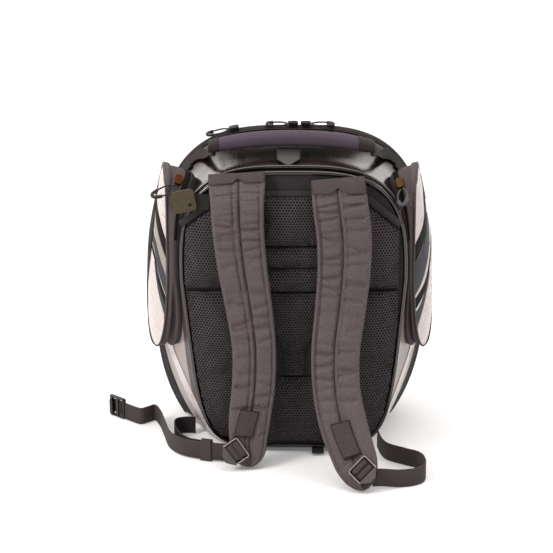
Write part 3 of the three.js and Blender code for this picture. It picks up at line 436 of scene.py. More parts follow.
# Camera and light; each fade of the backdrop has a start, an end and the strengths there
CAMERA_PLACE = (-0.0162, -1.7263, 0.752)
CAMERA_TILT = 72
CAMERA_LENS = 97.65
SENSOR = 36
SOFTBOXES = {"softbox_key": ((-1.3, -0.95, 1.25), 0.6, 27), "softbox_fill": ((1.4, -0.7, 1.3), 0.8, 8)}
LIGHT_TARGET = (0, 0, 0.2)
BACKDROP = (0.08, 0.26, 2.6, 0.06)
BACKDROP_WINGS = -1.15
BACKDROP_FRONT = (0.2, 0.8, 0.1, 1)
CEILING = (0.74, 0.88, 0, 3.2)
FLOOR_REACH = 12
FLOOR_COLOUR = "#dcdcdc"
FLOOR_GLOW = 0.13
WARM = (1, 0.965, 0.955)

# Worn patches: their size, the span of noise they fill, their shades and their change of roughness
WEAR_SIZE = 18
WEAR_RANGE = (0.3, 0.7)
WEAR_SHADES = (0.95, 1.05)
WEAR_ROUGHNESS = 0.05

# Grains: bumps in a millimetre and their depth. Ribs, weave and mesh: sizes, contrast and mottle
VINYL_GRAIN = (0.35, 0.08)
FINE_GRAIN = (2.0, 0.1)
BRAID_GRAIN = (1.2, 0.4)
LOW_RIB = 0.15
HIGH_RIB = 0.4
WEAVE_DEPTH = 0.12
WEAVE_CONTRAST = 0.2
WEAVE_MOTTLE = 0.3
MESH_PITCH = 3.5
MESH_HOLE = 1.56
MESH_RIM = 0.4
MESH_MOTTLE = 0.06
MESH_DEPTH = 0.8


# Curves and tables


def smooth_step(value):
    held = np.clip(value, 0, 1)
    return held * held * (3 - 2 * held)


def table_row(rows, key, value):
    """Every column of a table at a value of its key column, on a smooth curve through the rows."""
    last = len(rows) - 1
    held = min(max(value, rows[0][key]), rows[last][key])
    low = 0
    while low < last - 1 and rows[low + 1][key] < held:
        low += 1
    span = rows[low + 1][key] - rows[low][key]
    t = (held - rows[low][key]) / span

    def slope(row, column):
        before = rows[max(row - 1, 0)]
        after = rows[min(row + 1, last)]
        return (after[column] - before[column]) / (after[key] - before[key])

    found = {}
    for column in rows[0]:
        a = rows[low][column]
        b = rows[low + 1][column]
        straight = (b - a) / span
        start = (1 - t) * (slope(low, column) - straight)
        end = t * (slope(low + 1, column) - straight)
        found[column] = a + (b - a) * t + t * (1 - t) * span * (start - end)
    return found


def curve_points(points, count):
    """Points spaced by parameter on a centripetal curve through the given ones."""
    given = np.asarray(points, float)
    padded = np.vstack([2 * given[0] - given[1], given, 2 * given[-1] - given[-2]])
    spans = len(given) - 1
    found = []
    for at in np.linspace(0, spans, count):
        low = min(int(at), spans - 1)
        t = at - low
        p0, p1, p2, p3 = padded[low : low + 4]
        d0, d1, d2 = (max(np.linalg.norm(b - a), TINY) ** 0.5 for a, b in ((p0, p1), (p1, p2), (p2, p3)))
        t1 = ((p1 - p0) / d0 - (p2 - p0) / (d0 + d1) + (p2 - p1) / d1) * d1
        t2 = ((p2 - p1) / d1 - (p3 - p1) / (d1 + d2) + (p3 - p2) / d2) * d1
        bend = 2 * p1 - 2 * p2 + t1 + t2
        lean = -3 * p1 + 3 * p2 - 2 * t1 - t2
        found.append(p1 + t1 * t + lean * t**2 + bend * t**3)
    return np.array(found)


def unit(vectors):
    return vectors / np.maximum(np.linalg.norm(vectors, axis=-1, keepdims=True), TINY)


def squared_off(values, power):
    """Values from -1 to 1 that keep their sign and are raised to a power, to square a round section off."""
    return np.sign(values) * np.abs(values) ** power


# Shell surface


@functools.lru_cache(maxsize=None)
def outline(depth, floor=None):
    """Half of the shell's outline from the crown to the foot: x, z and the distance along it."""
    row = table_row(BODY, "depth", depth)
    angle = (math.pi / 2) * (1 - np.arange(2 * OUTLINE_STEPS + 1) / OUTLINE_STEPS)
    upper = angle >= 0
    power = 2 / np.where(upper, row["crown_power"], row["foot_power"])
    height = np.abs(np.sin(angle)) ** power
    narrowed = np.where(upper, 1, 1 - row["taper"] * height)
    x = row["widest"] * np.maximum(np.cos(angle), 0) ** power * narrowed
    rise = np.where(upper, row["crown_z"] - row["widest_z"], row["foot_z"] - row["widest_z"])
    z = row["widest_z"] + rise * height
    if floor is not None:
        z = np.maximum(z, floor)
    along = np.concatenate([[0], np.cumsum(np.hypot(np.diff(x), np.diff(z)))])
    return x, z, along


def sway(depth, z):
    up = np.asarray(z) / SWAY_HEIGHT
    back = SWAY_BACK[0] + (SWAY_BACK[1] - SWAY_BACK[0]) * up
    rim = SWAY_RIM[0] + (SWAY_RIM[1] - SWAY_RIM[0]) * up
    return back + (rim - back) * np.minimum(depth / RIM_DEPTH, 1)


def body_line(depth, arcs, floor=0):
    """The shell's points at a depth and at signed distances round from the crown, positive to the right."""
    x, z, along = outline(depth, floor)
    arcs = np.asarray(arcs, float)
    found_x = np.sign(arcs) * np.interp(np.abs(arcs), along, x)
    found_z = np.interp(np.abs(arcs), along, z)
    return np.stack([found_x + sway(depth, found_z), np.full(len(arcs), float(depth)), found_z], axis=1)


def body_grid(depths, arcs):
    return np.array([body_line(depth, arcs(depth) if callable(arcs) else arcs) for depth in depths])


def body_patch(depth, arc):
    """Nine points of the shell round a place, a millimetre apart."""
    return body_grid([depth - 1, depth, depth + 1], [arc - 1, arc, arc + 1])


def body_spot(depth, arc, lift):
    """One point a distance above the shell."""
    around = body_patch(depth, arc)
    return around[1, 1] + grid_normals(around)[1, 1] * lift


def base_edge(depth):
    _, z, along = outline(depth, 0)
    return along[np.argmax(z <= z[-1] + BASE_EDGE_RISE)]


def side_x(sign, depth, z):
    x, heights, _ = outline(depth)
    return sign * np.interp(-z, -heights, x) + sway(depth, z)


def grid_normals(grid, inside=INSIDE):
    normals = unit(np.cross(np.gradient(grid, axis=0), np.gradient(grid, axis=1)))
    out = np.sum(normals * (grid - inside), axis=-1, keepdims=True)
    return np.where(out < 0, -normals, normals)


def lifted(grid, lift, inside=INSIDE):
    return grid + grid_normals(grid, inside) * np.asarray(lift)[..., None]


# Pieces


def to_metres(points):
    return (np.asarray(points, float) - [0, BASE_MIDDLE_DEPTH, 0]) * MM


def add_object(name, data):
    obj = bpy.data.objects.new(name, data)
    bpy.context.scene.collection.objects.link(obj)
    return obj


def dress(obj, material):
    obj.data.materials.clear()
    obj.data.materials.append(MATERIALS[material])


def add_piece(name, data, material, nodes):
    """A dressed object that hangs on the bag and stands for its solid nodes."""
    obj = add_object(name, data)
    dress(obj, material)
    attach(obj, "root")
    if nodes:
        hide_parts(*nodes)
    return obj


def add_grid(name, grid, material, nodes=(), thickness=None, ring=False):
    """A piece from points in rows and columns, with a UV map in millimetres along its columns and rows.

    A ring's columns close on each other, and a ring that has no wall is closed at both ends too.
    """
    grid = np.array(grid)
    count = grid.shape[1]
    points = grid.reshape(-1, 3)
    index = np.arange(len(points)).reshape(-1, count)
    if ring:
        index = np.concatenate([index, index[:, :1]], axis=1)
    across = np.cumsum(np.linalg.norm(np.diff(points[index], axis=1), axis=2), axis=1)
    across = np.pad(across, ((0, 0), (1, 0)))
    down = np.cumsum(np.linalg.norm(np.diff(grid, axis=0), axis=2).mean(axis=1))
    down = np.pad(down, (1, 0))
    places = np.stack([across, np.broadcast_to(down[:, None], across.shape)], axis=2)

    def corners(values):
        return np.stack([values[:-1, :-1], values[:-1, 1:], values[1:, 1:], values[1:, :-1]], axis=2)

    faces = corners(index).reshape(-1, 4).tolist()
    spots = corners(places).reshape(-1, 2)
    if ring and not thickness:
        faces += [index[0, :count][::-1].tolist(), index[-1, :count].tolist()]
        spots = np.concatenate([spots, places[0, :count][::-1], places[-1, :count]])
    mesh = bpy.data.meshes.new(name)
    mesh.from_pydata(to_metres(points).tolist(), [], faces)
    mesh.uv_layers.new(name="cloth_mm").data.foreach_set("uv", spots.ravel())
    mesh.polygons.foreach_set("use_smooth", [True] * len(mesh.polygons))
    obj = add_piece(name, mesh, material, nodes)
    turn_out(obj)
    if thickness:
        wall = obj.modifiers.new("wall", "SOLIDIFY")
        wall.thickness = thickness * MM
        wall.offset = -1
    return obj


def turn_out(obj):
    """Faces of a piece point away from the middle of the bag, or out of it where it is closed."""
    mesh = obj.data
    count = len(mesh.polygons)
    centres = np.zeros(count * 3)
    normals = np.zeros(count * 3)
    areas = np.zeros(count)
    mesh.polygons.foreach_get("center", centres)
    mesh.polygons.foreach_get("normal", normals)
    mesh.polygons.foreach_get("area", areas)
    edges_open = len(mesh.edges) * 2 != sum(p.loop_total for p in mesh.polygons)
    middle = to_metres(INSIDE) if edges_open else np.zeros(3)
    out = np.sum(normals.reshape(-1, 3) * (centres.reshape(-1, 3) - middle), axis=1) @ areas
    if out < 0:
        mesh.flip_normals()


def add_tube(name, points, radius, material, nodes=(), closed=False, shares=None):
    """A round cord or piping along points, of the whole radius or of a share of it at each point."""
    data = bpy.data.curves.new(name, "CURVE")
    data.dimensions = "3D"
    data.bevel_depth = radius * MM
    data.bevel_resolution = TUBE_RESOLUTION
    data.use_fill_caps = not closed
    spline = data.splines.new("POLY")
    spline.points.add(len(points) - 1)
    spline.points.foreach_set("co", np.pad(to_metres(points), ((0, 0), (0, 1)), constant_values=1).ravel())
    if shares is not None:
        spline.points.foreach_set("radius", shares)
    spline.use_cyclic_u = closed
    spline.use_smooth = True
    return add_piece(name, data, material, nodes)


def add_copy(name, node, material, bevel):
    """A copy of a moulded or folded solid with its edges rounded."""
    obj = add_piece(name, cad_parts[node].data.copy(), material, [node])
    rounded = obj.modifiers.new("rounded", "BEVEL")
    rounded.width = bevel * MM
    rounded.segments = BEVEL_SEGMENTS
    rounded.limit_method = "ANGLE"
    rounded.harden_normals = True


# Materials


def linear(colour, share=1):
    """Linear RGBA of an sRGB hex colour, made lighter or darker by a share."""
    parts = [int(colour[place : place + 2], 16) / 255 for place in (1, 3, 5)]
    return [*(share * (c / 12.92 if c <= 0.04045 else ((c + 0.055) / 1.055) ** 2.4) for c in parts), 1]


def add_node(tree, kind, links=None, **settings):
    """A shader node with its settings; links maps sockets to values, outputs or nodes' first outputs."""
    made = tree.nodes.new(f"ShaderNode{kind}")
    for name, value in settings.items():
        setattr(made, name, value)
    for socket, source in (links or {}).items():
        if isinstance(source, bpy.types.Node):
            source = source.outputs[0]
        if isinstance(source, bpy.types.NodeSocket):
            tree.links.new(source, made.inputs[socket])
        else:
            made.inputs[socket].default_value = source
    return made


def new_material(name, **sockets):
    """A material with one Principled shader; returns the material, its tree and the shader."""
    material = bpy.data.materials.new(name)
    material.use_nodes = True
    tree = material.node_tree
    shader = tree.nodes["Principled BSDF"]
    for socket, value in sockets.items():
        shader.inputs[socket.replace("_", " ")].default_value = value
    return material, tree, shader


def cloth_place(tree, source):
    """Millimetres on the cloth, from its UV map, or in the bag's frame."""
    place = add_node(tree, "TexCoord").outputs[source]
    if source == "UV":
        return place
    return add_node(tree, "VectorMath", {0: place, 1: (1 / MM,) * 3}, operation="MULTIPLY").outputs[0]


def colour_and_raise(tree, shader, shade, colours, height, depth):
    """Colours a shader between two colours and raises its surface by a height, in millimetres."""
    colour = add_node(tree, "Mix", {0: shade, 6: colours[0], 7: colours[1]}, data_type="RGBA")
    tree.links.new(colour.outputs[2], shader.inputs["Base Color"])
    raised = add_node(tree, "Bump", {"Height": height, "Distance": depth * MM})
    tree.links.new(raised.outputs["Normal"], shader.inputs["Normal"])


def woven(name, dark, light, pitch, source="UV"):
    """Plain-weave cloth: yarns over and under at a pitch, with a soft mottle where the weave is worn.

    The pitch is drawn coarser than the real half millimetre, which is finer than a pixel. On cloth without a
    UV map, each row of yarns fades out where the cloth faces along it.
    """
    material, tree, shader = new_material(name, Roughness=0.85, Specular_IOR_Level=0.25)
    place = cloth_place(tree, source)
    scaled = add_node(tree, "VectorMath", {0: place, 1: (TURN / pitch,) * 3}, operation="MULTIPLY")
    waves = add_node(tree, "VectorMath", {0: scaled}, operation="SINE")
    shares = (1, 1, 0)
    if source == "Object":
        normal = add_node(tree, "TexCoord").outputs["Normal"]
        facing = add_node(tree, "VectorMath", {0: normal}, operation="ABSOLUTE")
        shares = add_node(tree, "VectorMath", {0: (1, 1, 1), 1: facing}, operation="SUBTRACT")
    crossing = add_node(tree, "VectorMath", {0: waves, 1: shares}, operation="DOT_PRODUCT").outputs["Value"]
    mottle = add_node(tree, "TexNoise", {"Vector": place, "Scale": WEAVE_MOTTLE, "Detail": 4})
    yarn = add_node(tree, "Math", {0: crossing, 1: WEAVE_CONTRAST, 2: mottle}, operation="MULTIPLY_ADD")
    shade = add_node(tree, "MapRange", {0: yarn})
    colour_and_raise(tree, shader, shade, (linear(dark), linear(light)), crossing, WEAVE_DEPTH)
    return material


def spacer_mesh(name, hole, dark, light):
    """Warp-knit polyester spacer mesh: open holes in a hexagonal net, so dark dots under lighter threads."""
    material, tree, shader = new_material(name, Roughness=0.8, Specular_IOR_Level=0.3)
    place = cloth_place(tree, "Object")
    flat = add_node(tree, "VectorMath", {0: place, 1: (1, 0, 1)}, operation="MULTIPLY")
    cell = (MESH_PITCH, 1, MESH_PITCH * math.sqrt(3))
    middle = (0.5, 0, 0.5)
    distances = []
    for shift in ((0, 0, 0), middle):
        found = flat
        in_cell = (("DIVIDE", cell), ("ADD", shift), ("FRACTION",), ("SUBTRACT", middle), ("MULTIPLY", cell))
        for operation, *values in (*in_cell, ("LENGTH",)):
            found = add_node(tree, "VectorMath", dict(enumerate((found, *values))), operation=operation)
        distances.append(found.outputs["Value"])
    nearest = add_node(tree, "Math", dict(enumerate(distances)), operation="MINIMUM")
    rim = {0: nearest, 1: MESH_HOLE - MESH_RIM, 2: MESH_HOLE + MESH_RIM}
    thread = add_node(tree, "MapRange", rim, interpolation_type="SMOOTHSTEP")
    mottle = add_node(tree, "TexNoise", {"Vector": place, "Scale": MESH_MOTTLE, "Detail": 3})
    threads = add_node(tree, "Mix", {0: mottle, 6: linear(dark), 7: linear(light)}, data_type="RGBA")
    colour_and_raise(tree, shader, thread, (linear(hole), threads.outputs[2]), thread, MESH_DEPTH)
    return material


def ribbed(name, dark, light, pitch, along, depth):
    """Ribbed tape: yarn ribs at a pitch across the band, which catch the light in fine lines."""
    material, tree, shader = new_material(name, Roughness=0.75, Specular_IOR_Level=0.3)
    place = cloth_place(tree, "UV")
    scaled = add_node(tree, "VectorMath", {0: place, 1: (TURN / pitch,) * 3}, operation="MULTIPLY")
    axis = add_node(tree, "SeparateXYZ", {0: scaled}).outputs[along]
    wave = add_node(tree, "Math", {0: axis}, operation="SINE")
    shade = add_node(tree, "MapRange", {0: wave, 1: -1})
    colour_and_raise(tree, shader, shade, (linear(dark), linear(light)), wave, depth)
    return material


def grained(name, colour, roughness, grain, specular=0.5, metallic=0):
    """A coated, moulded or knitted surface: a fine grain, and worn patches that vary its shade and gloss."""
    material, tree, shader = new_material(name, Specular_IOR_Level=specular, Metallic=metallic)
    place = cloth_place(tree, "Object")
    noise = add_node(tree, "TexNoise", {"Vector": place, "Scale": 1 / WEAR_SIZE, "Detail": 4})
    wear = add_node(tree, "MapRange", {0: noise, 1: WEAR_RANGE[0], 2: WEAR_RANGE[1]})
    span = {0: wear, 3: roughness - WEAR_ROUGHNESS, 4: roughness + WEAR_ROUGHNESS}
    tree.links.new(add_node(tree, "MapRange", span).outputs[0], shader.inputs["Roughness"])
    scale, depth = grain
    bumps = add_node(tree, "TexNoise", {"Vector": place, "Scale": scale, "Detail": 3})
    colour_and_raise(tree, shader, wear, [linear(colour, share) for share in WEAR_SHADES], bumps, depth)
    return material


RECIPES = {
    # Polyester pack cloth, plain woven: matt, with a fine check of yarns that is lighter where it is rubbed
    "strap_polyester": (woven, "#463e3e", "#615757", 1.9),
    # The same cloth drawn darker, as painted shade on the folds over the strap tops; the panels on the strap
    # tabs use it too
    "fold_polyester": (woven, "#342e2e", "#484040", 1.9),
    # Nylon pack cloth, plain woven: nearly black and matt, its yarns only just seen
    "back_nylon": (woven, "#211d1e", "#332e2f", 1.6, "Object"),
    "tab_nylon": (woven, "#231f1e", "#352f2e", 1.5),
    "lid_nylon": (woven, "#1f1c1d", "#353132", 2.0, "Object"),
    # Cotton canvas, plain woven and dyed olive: dull and a little uneven
    "olive_cloth": (woven, "#383023", "#544a37", 1.6, "Object"),
    # Spacer mesh, warp knitted over foam: a net of grey threads over black holes
    "spacer_mesh": (spacer_mesh, "#060505", "#51484b", "#665c60"),
    # Coated vinyl, polished in the press: near black, with broad soft reflections
    "black_vinyl": (grained, "#1b1310", 0.22, VINYL_GRAIN),
    # Coated vinyl drawn tight over a cord: one sharp bright line along it
    "piping_vinyl": (grained, "#140e0c", 0.12, VINYL_GRAIN, 0.7),
    # Coated vinyl, pigmented: clean warm white, or silver grey, with a soft gloss; a silver strip on the left
    # pocket face is a painted highlight
    "white_vinyl": (grained, "#b8aeaa", 0.28, VINYL_GRAIN),
    "silver_vinyl": (grained, "#867b76", 0.34, VINYL_GRAIN),
    # Coated vinyl, matt pressed: flat stripes of slate and black that keep their shade; the slate below the
    # pocket lines is painted shade
    "slate_vinyl": (grained, "#2b2c33", 0.5, VINYL_GRAIN, 0.25),
    # Brown vinyl laid along the back seam of the side panels as painted shade
    "shade_vinyl": (grained, "#3d3431", 0.5, VINYL_GRAIN, 0.25),
    "ink_vinyl": (grained, "#120c0b", 0.6, VINYL_GRAIN, 0.1),
    # Polypropylene webbing, woven in ribs: dull bands with fine lines across them
    "webbing": (ribbed, "#342d2c", "#413a39", 1.5, "Y", LOW_RIB),
    "black_webbing": (ribbed, "#1a1717", "#232020", 1.5, "Y", LOW_RIB),
    # Grosgrain ribbon and coil zip, ribbed more deeply: light and dark lines close together
    "ribbon": (ribbed, "#2c2829", "#3d3839", 1.6, "Y", HIGH_RIB),
    "zip_tape": (ribbed, "#231f1f", "#38312f", 2.4, "X", HIGH_RIB),
    # Polyester twill tape: brown grey, with faint lines along the pocket's edge
    "gusset_tape": (ribbed, "#3b3434", "#4d4544", 1.9, "X", LOW_RIB),
    # Neoprene faced with knitted jersey: soft, dull and faintly violet
    "neoprene": (grained, "#463d46", 0.85, FINE_GRAIN, 0.15),
    # Acetal, moulded: black with a satin shine. Pale tubes on the lock edges are painted highlights, and the
    # lighter thumb plate is painted light on its matt face
    "buckle_plastic": (grained, "#110e0e", 0.35, FINE_GRAIN),
    "rubbed_plastic": (grained, "#8f8783", 0.3, FINE_GRAIN),
    "thumb_plastic": (grained, "#443f40", 0.6, FINE_GRAIN),
    # Rubber, moulded: dark grey, with a weak broad shine
    "patch_rubber": (grained, "#2d2a29", 0.55, FINE_GRAIN),
    # Copper and brass plate, tumbled: brown and ochre metal with blurred reflections
    "copper": (grained, "#43230f", 0.45, FINE_GRAIN, 0.5, 1),
    "brass": (grained, "#45301a", 0.45, FINE_GRAIN, 0.5, 1),
    # Polyester cord, braided: a lumpy, dull thread
    "cord_braid": (grained, "#413e45", 0.75, BRAID_GRAIN),
    "dark_cord": (grained, "#1f1b1c", 0.7, BRAID_GRAIN),
}
MATERIALS = {name: maker(name, *values) for name, (maker, *values) in RECIPES.items()}


# Shell


def add_shell():
    depths = np.linspace(PIPING_RADIUS + GAP, RIM_DEPTH, SHELL_ROWS)
    yoke = body_grid(depths, np.linspace(-YOKE_ARC, YOKE_ARC, YOKE_COLUMNS))
    add_grid("yoke_cover", yoke, "black_vinyl", ["yoke"], CLOTH)
    for side, sign in SIDES.items():

        def arcs_down(depth):
            return sign * np.linspace(YOKE_ARC + GAP, base_edge(depth), SIDE_COLUMNS)

        panel = body_grid(depths, arcs_down)
        add_grid(f"side_cover_{side}", panel, "silver_vinyl", [f"side_panel_{side}"], CLOTH)
        # The brown strip by the back seam is painted shade
        seam = [(z, *SEAM_SHADE_STRIPS[side]) for z in SEAM_SHADE_HEIGHTS]
        strips = (("seam_shade_strip", seam, 1, "shade_vinyl"), ("side_rim", RIM_STRIP, 1, "ink_vinyl"))
        for name, rows, layer, material in (*strips, ("side_stripe", SIDE_STRIPE, 2, "white_vinyl")):

            def on_side(z, depth, lift=sign * layer * STRIP_LIFT):
                return side_x(sign, depth, z) + lift, depth, z

            add_strip(f"{name}_{side}", rows, on_side, SIDE_STRIP_STEPS, material)
        arcs = sign * np.linspace(EDGE_STRIP["from"], EDGE_STRIP["to"], PATCH_STEPS[0])
        patch = body_grid(np.linspace(EDGE_STRIP["front"], EDGE_STRIP["back"], PATCH_STEPS[1]), arcs)
        patch = np.swapaxes(lifted(patch, PATCH_LIFT + WEBBING_THICKNESS), 0, 1)
        add_grid(f"edge_strip_{side}", patch, "black_webbing", thickness=WEBBING_THICKNESS)


def add_strip(name, rows, point, steps, material):
    """A strip sewn flat on a panel, between two edges at each place along it."""
    grid = [
        [point(at, across) for across in np.linspace(start, end, steps[1])]
        for at, start, end in curve_points(rows, steps[0])
    ]
    add_grid(name, grid, material, thickness=STRIP_LIFT)


def add_zip_band():
    depths = np.linspace(RIM_DEPTH + GAP, RIM_DEPTH + ZIP_WIDTH - GAP, ZIP_STEPS[0])
    half = base_edge(RIM_DEPTH) - ZIP_END_RISE
    bulge = ZIP_BULGE * np.sin(math.pi * np.linspace(0, 1, ZIP_STEPS[0]))
    band = lifted(body_grid(depths, np.linspace(-half, half, ZIP_STEPS[1])), bulge[:, None])
    add_grid("zip_tape", np.swapaxes(band, 0, 1), "zip_tape", ["zip_band"], CLOTH)


def add_lid():
    rim = np.linspace(RIM_DEPTH + ZIP_WIDTH, LID_SHOULDER[0], LID_STEPS[0])
    turns = np.linspace(0, 2, LID_STEPS[2] + 1)[:-1]
    rings = []
    for depth in np.concatenate([rim, np.linspace(LID_SHOULDER[1], LID_DEPTH, LID_STEPS[1])]):
        half = outline(depth, LID_FLOOR)[2][-1]
        rings.append(body_line(depth, np.where(turns <= 1, turns * half, (turns - 2) * half), LID_FLOOR))
    last = rings[-1]
    middle = last.mean(axis=0)
    for share in LID_RINGS:
        ring = middle + (last - middle) * share
        ring[:, 1] = LID_DEPTH + LID_CROWN * (1 - share * share)
        rings.append(ring)
    nodes = ["lid_band_left", "lid_band_right", "front_lid"]
    add_grid("lid_cover", rings, "lid_nylon", nodes, CLOTH, ring=True)


def add_piping():
    half = outline(0, 0)[2][-1]
    seam = body_line(0, np.linspace(-half, half, PIPING_STEPS[0] + 1)[:-1])
    add_tube("seam_piping", seam, PIPING_RADIUS, "piping_vinyl", ["back_piping"], closed=True)
    depth = 3 * PIPING_RADIUS + GAP
    around = body_grid([depth - 1, depth, depth + 1], np.linspace(-YOKE_ARC, YOKE_ARC, PIPING_STEPS[1]))
    line = lifted(around, PIPING_RADIUS + GAP)[1]
    add_tube("upper_piping", line, PIPING_RADIUS, "piping_vinyl", ["yoke_piping"])


# Padding


def pad_rings(bottom, top, thick, sides):
    """Rings of a pad from its foot to its head: a swelling front and a flat back against the bag."""
    rings = []
    for share in (1 - np.cos(np.linspace(0, math.pi, PAD_ROWS))) / 2:
        z = bottom + (top - bottom) * share
        crown = math.sqrt(max(1 - abs(2 * share - 1) ** PAD_POWER, 0))
        height = (thick * PAD_START - PAD_EDGE) * crown
        left, right = sides(z, share)
        u = -np.cos(np.linspace(0, math.pi, PAD_COLUMNS))
        front = -GAP - PAD_EDGE - height * np.sqrt(np.maximum(1 - np.abs(u) ** PAD_POWER, 0))
        x = np.concatenate([left + (right - left) * (u + 1) / 2, np.linspace(right, left, PAD_BACK_COLUMNS)])
        depth = np.concatenate([front, np.full(PAD_BACK_COLUMNS, -GAP)])
        rings.append(np.stack([x, depth, np.full(len(x), z)], axis=1))
    return np.array(rings)


def outer_edge(sign, z):
    cut = CORNER_CUT["x"] - CORNER_CUT["slope"] * max(z - CORNER_CUT["z"], 0)
    return sign * min(sign * side_x(sign, 0, z) - PAD_MARGIN, cut)


def add_pad(name, bottom, top, thick, sides):
    """A mesh pad and the numbers of its sewn points."""
    rings = pad_rings(bottom, top, thick, sides)
    pad = add_grid(f"{name}_mesh", rings, "spacer_mesh", [name], ring=True)
    places = np.arange(rings.shape[0] * rings.shape[1]).reshape(rings.shape[:2])
    sewn = [places[0], places[-1], places[:, 0], *places[:, PAD_COLUMNS - 1 :].T]
    return pad, np.unique(np.concatenate(sewn))


def add_pads():
    pads = []
    for name, (bottom, top, thick) in SIDE_PADS.items():
        for side, sign in SIDES.items():

            def column(z, share, sign=sign):
                return sorted((outer_edge(sign, z), sway(0, z) + sign * COLUMN_EDGE))

            pads.append(add_pad(f"{name}_{side}", bottom, top, thick, column))
    for name, (bottom, top, thick, half_top, half_bottom) in CENTRE_PADS.items():

        def sides(z, share, half_top=half_top, half_bottom=half_bottom):
            widening = smooth_step((share - NECK_SHARE) / (1 - 2 * NECK_SHARE))
            half = half_bottom + (half_top - half_bottom) * widening
            return sway(0, z) - half, sway(0, z) + half

        pads.append(add_pad(name, bottom, top, thick, sides))
    return pads


def swell(pieces):
    """Puffs padded pieces up as cloth under pressure; sewn points are held and no point moves too far."""
    scene = bpy.context.scene
    for piece, sewn in pieces:
        piece.vertex_groups.new(name="sewn").add(sewn.tolist(), 1.0, "REPLACE")
        cloth = piece.modifiers.new("cloth", "CLOTH")
        cloth.settings.quality = SWELL_QUALITY
        cloth.settings.vertex_group_mass = "sewn"
        cloth.settings.use_pressure = True
        cloth.settings.uniform_pressure_force = SWELL_PRESSURE
        cloth.settings.effector_weights.gravity = 0
        cloth.settings.shrink_min = -SWELL_GROWTH
        cloth.point_cache.frame_end = SWELL_STEPS
    for step in range(1, SWELL_STEPS + 1):
        scene.frame_set(step)
    graph = bpy.context.evaluated_depsgraph_get()
    for piece, _ in pieces:
        start = np.zeros(len(piece.data.vertices) * 3)
        end = np.zeros(len(start))
        piece.data.vertices.foreach_get("co", start)
        swollen = piece.evaluated_get(graph)
        swollen.to_mesh().vertices.foreach_get("co", end)
        swollen.to_mesh_clear()
        move = (end - start).reshape(-1, 3)
        length = np.maximum(np.linalg.norm(move, axis=1, keepdims=True), TINY)
        kept = start.reshape(-1, 3) + move * np.minimum(SWELL_MOST * MM / length, 1)
        piece.modifiers.remove(piece.modifiers["cloth"])
        piece.data.vertices.foreach_set("co", kept.ravel())
        piece.data.update()
    scene.frame_set(1)


def add_ribbons():
    """Grosgrain ribbons that cover the upper edges of the mesh."""
    z = TOP_RIBBON["z"]
    ends = [(sway(0, z) + sign * TOP_RIBBON["half_length"], -RIBBON_LIFT, z) for sign in SIDES.values()]
    add_ribbon("top_ribbon", ends, TOP_RIBBON["width"])
    for side, sign in SIDES.items():
        ends = []
        for z in (CORNER_RIBBON["low"], CORNER_RIBBON["high"]):
            x = CORNER_CUT["x"] - CORNER_CUT["slope"] * (z - CORNER_CUT["z"])
            ends.append((sign * (x + CORNER_RIBBON["aside"]), -RIBBON_LIFT, z + CORNER_RIBBON["aside"]))
        add_ribbon(f"corner_ribbon_{side}", ends, CORNER_RIBBON["width"])


def add_ribbon(name, ends, width):
    start, end = np.array(ends)
    across = np.cross(FACING, unit(end - start))
    spots = np.linspace(start, end, RIBBON_STEPS)
    rings = [flat_ring(spot, across, FACING, width, RIBBON_LIFT) for spot in spots]
    add_grid(name, rings, "ribbon", ring=True)


# Straps


@functools.lru_cache(maxsize=None)
def strap_line(side):
    """A strap's rows with their places along it, and its middle line and tangents at fine steps."""
    rows = [{**row, "at": index / (len(STRAPS[side]) - 1)} for index, row in enumerate(STRAPS[side])]
    line = curve_points([(row["x"], row["depth"], row["z"]) for row in rows], STRAP_STEPS)
    return rows, line, unit(np.gradient(line, axis=0))


def strap_frames(side, ats):
    """Middle, tangent, facing normal, across, half width and thickness at places 0 to 1 along a strap."""
    rows, line, tangents = strap_line(side)
    frames = []
    for at in ats:
        index = int(round(np.clip(at, 0, 1) * (STRAP_STEPS - 1)))
        tangent = tangents[index]
        normal = unit(FACING - tangent * FACING.dot(tangent))
        size = table_row(rows, "at", at)
        past = max((at - STRAP_ROUND_FROM) / (1 - STRAP_ROUND_FROM), 0)
        half = size["half"] * max(math.sqrt(max(1 - past * past, 0)), STRAP_TIP_SHARE)
        frames.append((line[index], tangent, normal, unit(np.cross(normal, tangent)), half, size["thick"]))
    return frames


def on_strap(strap_frame, across, lift):
    middle, _, normal, sideways, _, _ = strap_frame
    return middle + np.outer(across, sideways) + np.outer(lift, normal)


def strap_profile(side, places):
    return np.array([table_row(STRAP_PROFILES[side], "u", place)["height"] for place in places])


def crease_depth(side, at, u, length):
    """How deep the creases of a strap lie at a place along it, for places across it."""
    deep = np.zeros(len(u))
    for crease in STRAP_CREASES[side]:
        off = (at - crease["at"] - crease["slant"] * u) * length
        fade = smooth_step((u - crease["start"]) / CREASE_FADE)
        fade = fade * smooth_step((crease["end"] - u) / CREASE_FADE)
        deep += CREASE_STRENGTH * crease["deep"] * fade * np.exp(-((off / crease["half"]) ** 2))
    spread = (PUCKERS["to"] - PUCKERS["from"]) / PUCKERS["count"]
    for number, channel in itertools.product(range(PUCKERS["count"]), SIDES.values()):
        phase = PUCKERS["phase"] * number + channel + len(side)
        place = PUCKERS["from"] + spread * (number + 0.5) + PUCKERS["jitter"] * math.sin(phase)
        off = (at - place - PUCKERS["slant"] * math.sin(PUCKERS["slant_phase"] * phase) * u) * length
        fade = smooth_step(channel * (u - PUCKERS["seam"]) / PUCKERS["seam_fade"])
        fade = fade * smooth_step((1 - np.abs(u)) / PUCKERS["edge_fade"])
        share = PUCKERS["share"] + (1 - PUCKERS["share"]) * math.sin(PUCKERS["deep_phase"] * phase)
        deep += PUCKERS["deep"] * share * fade * np.exp(-((off / PUCKERS["half"]) ** 2))
    return deep


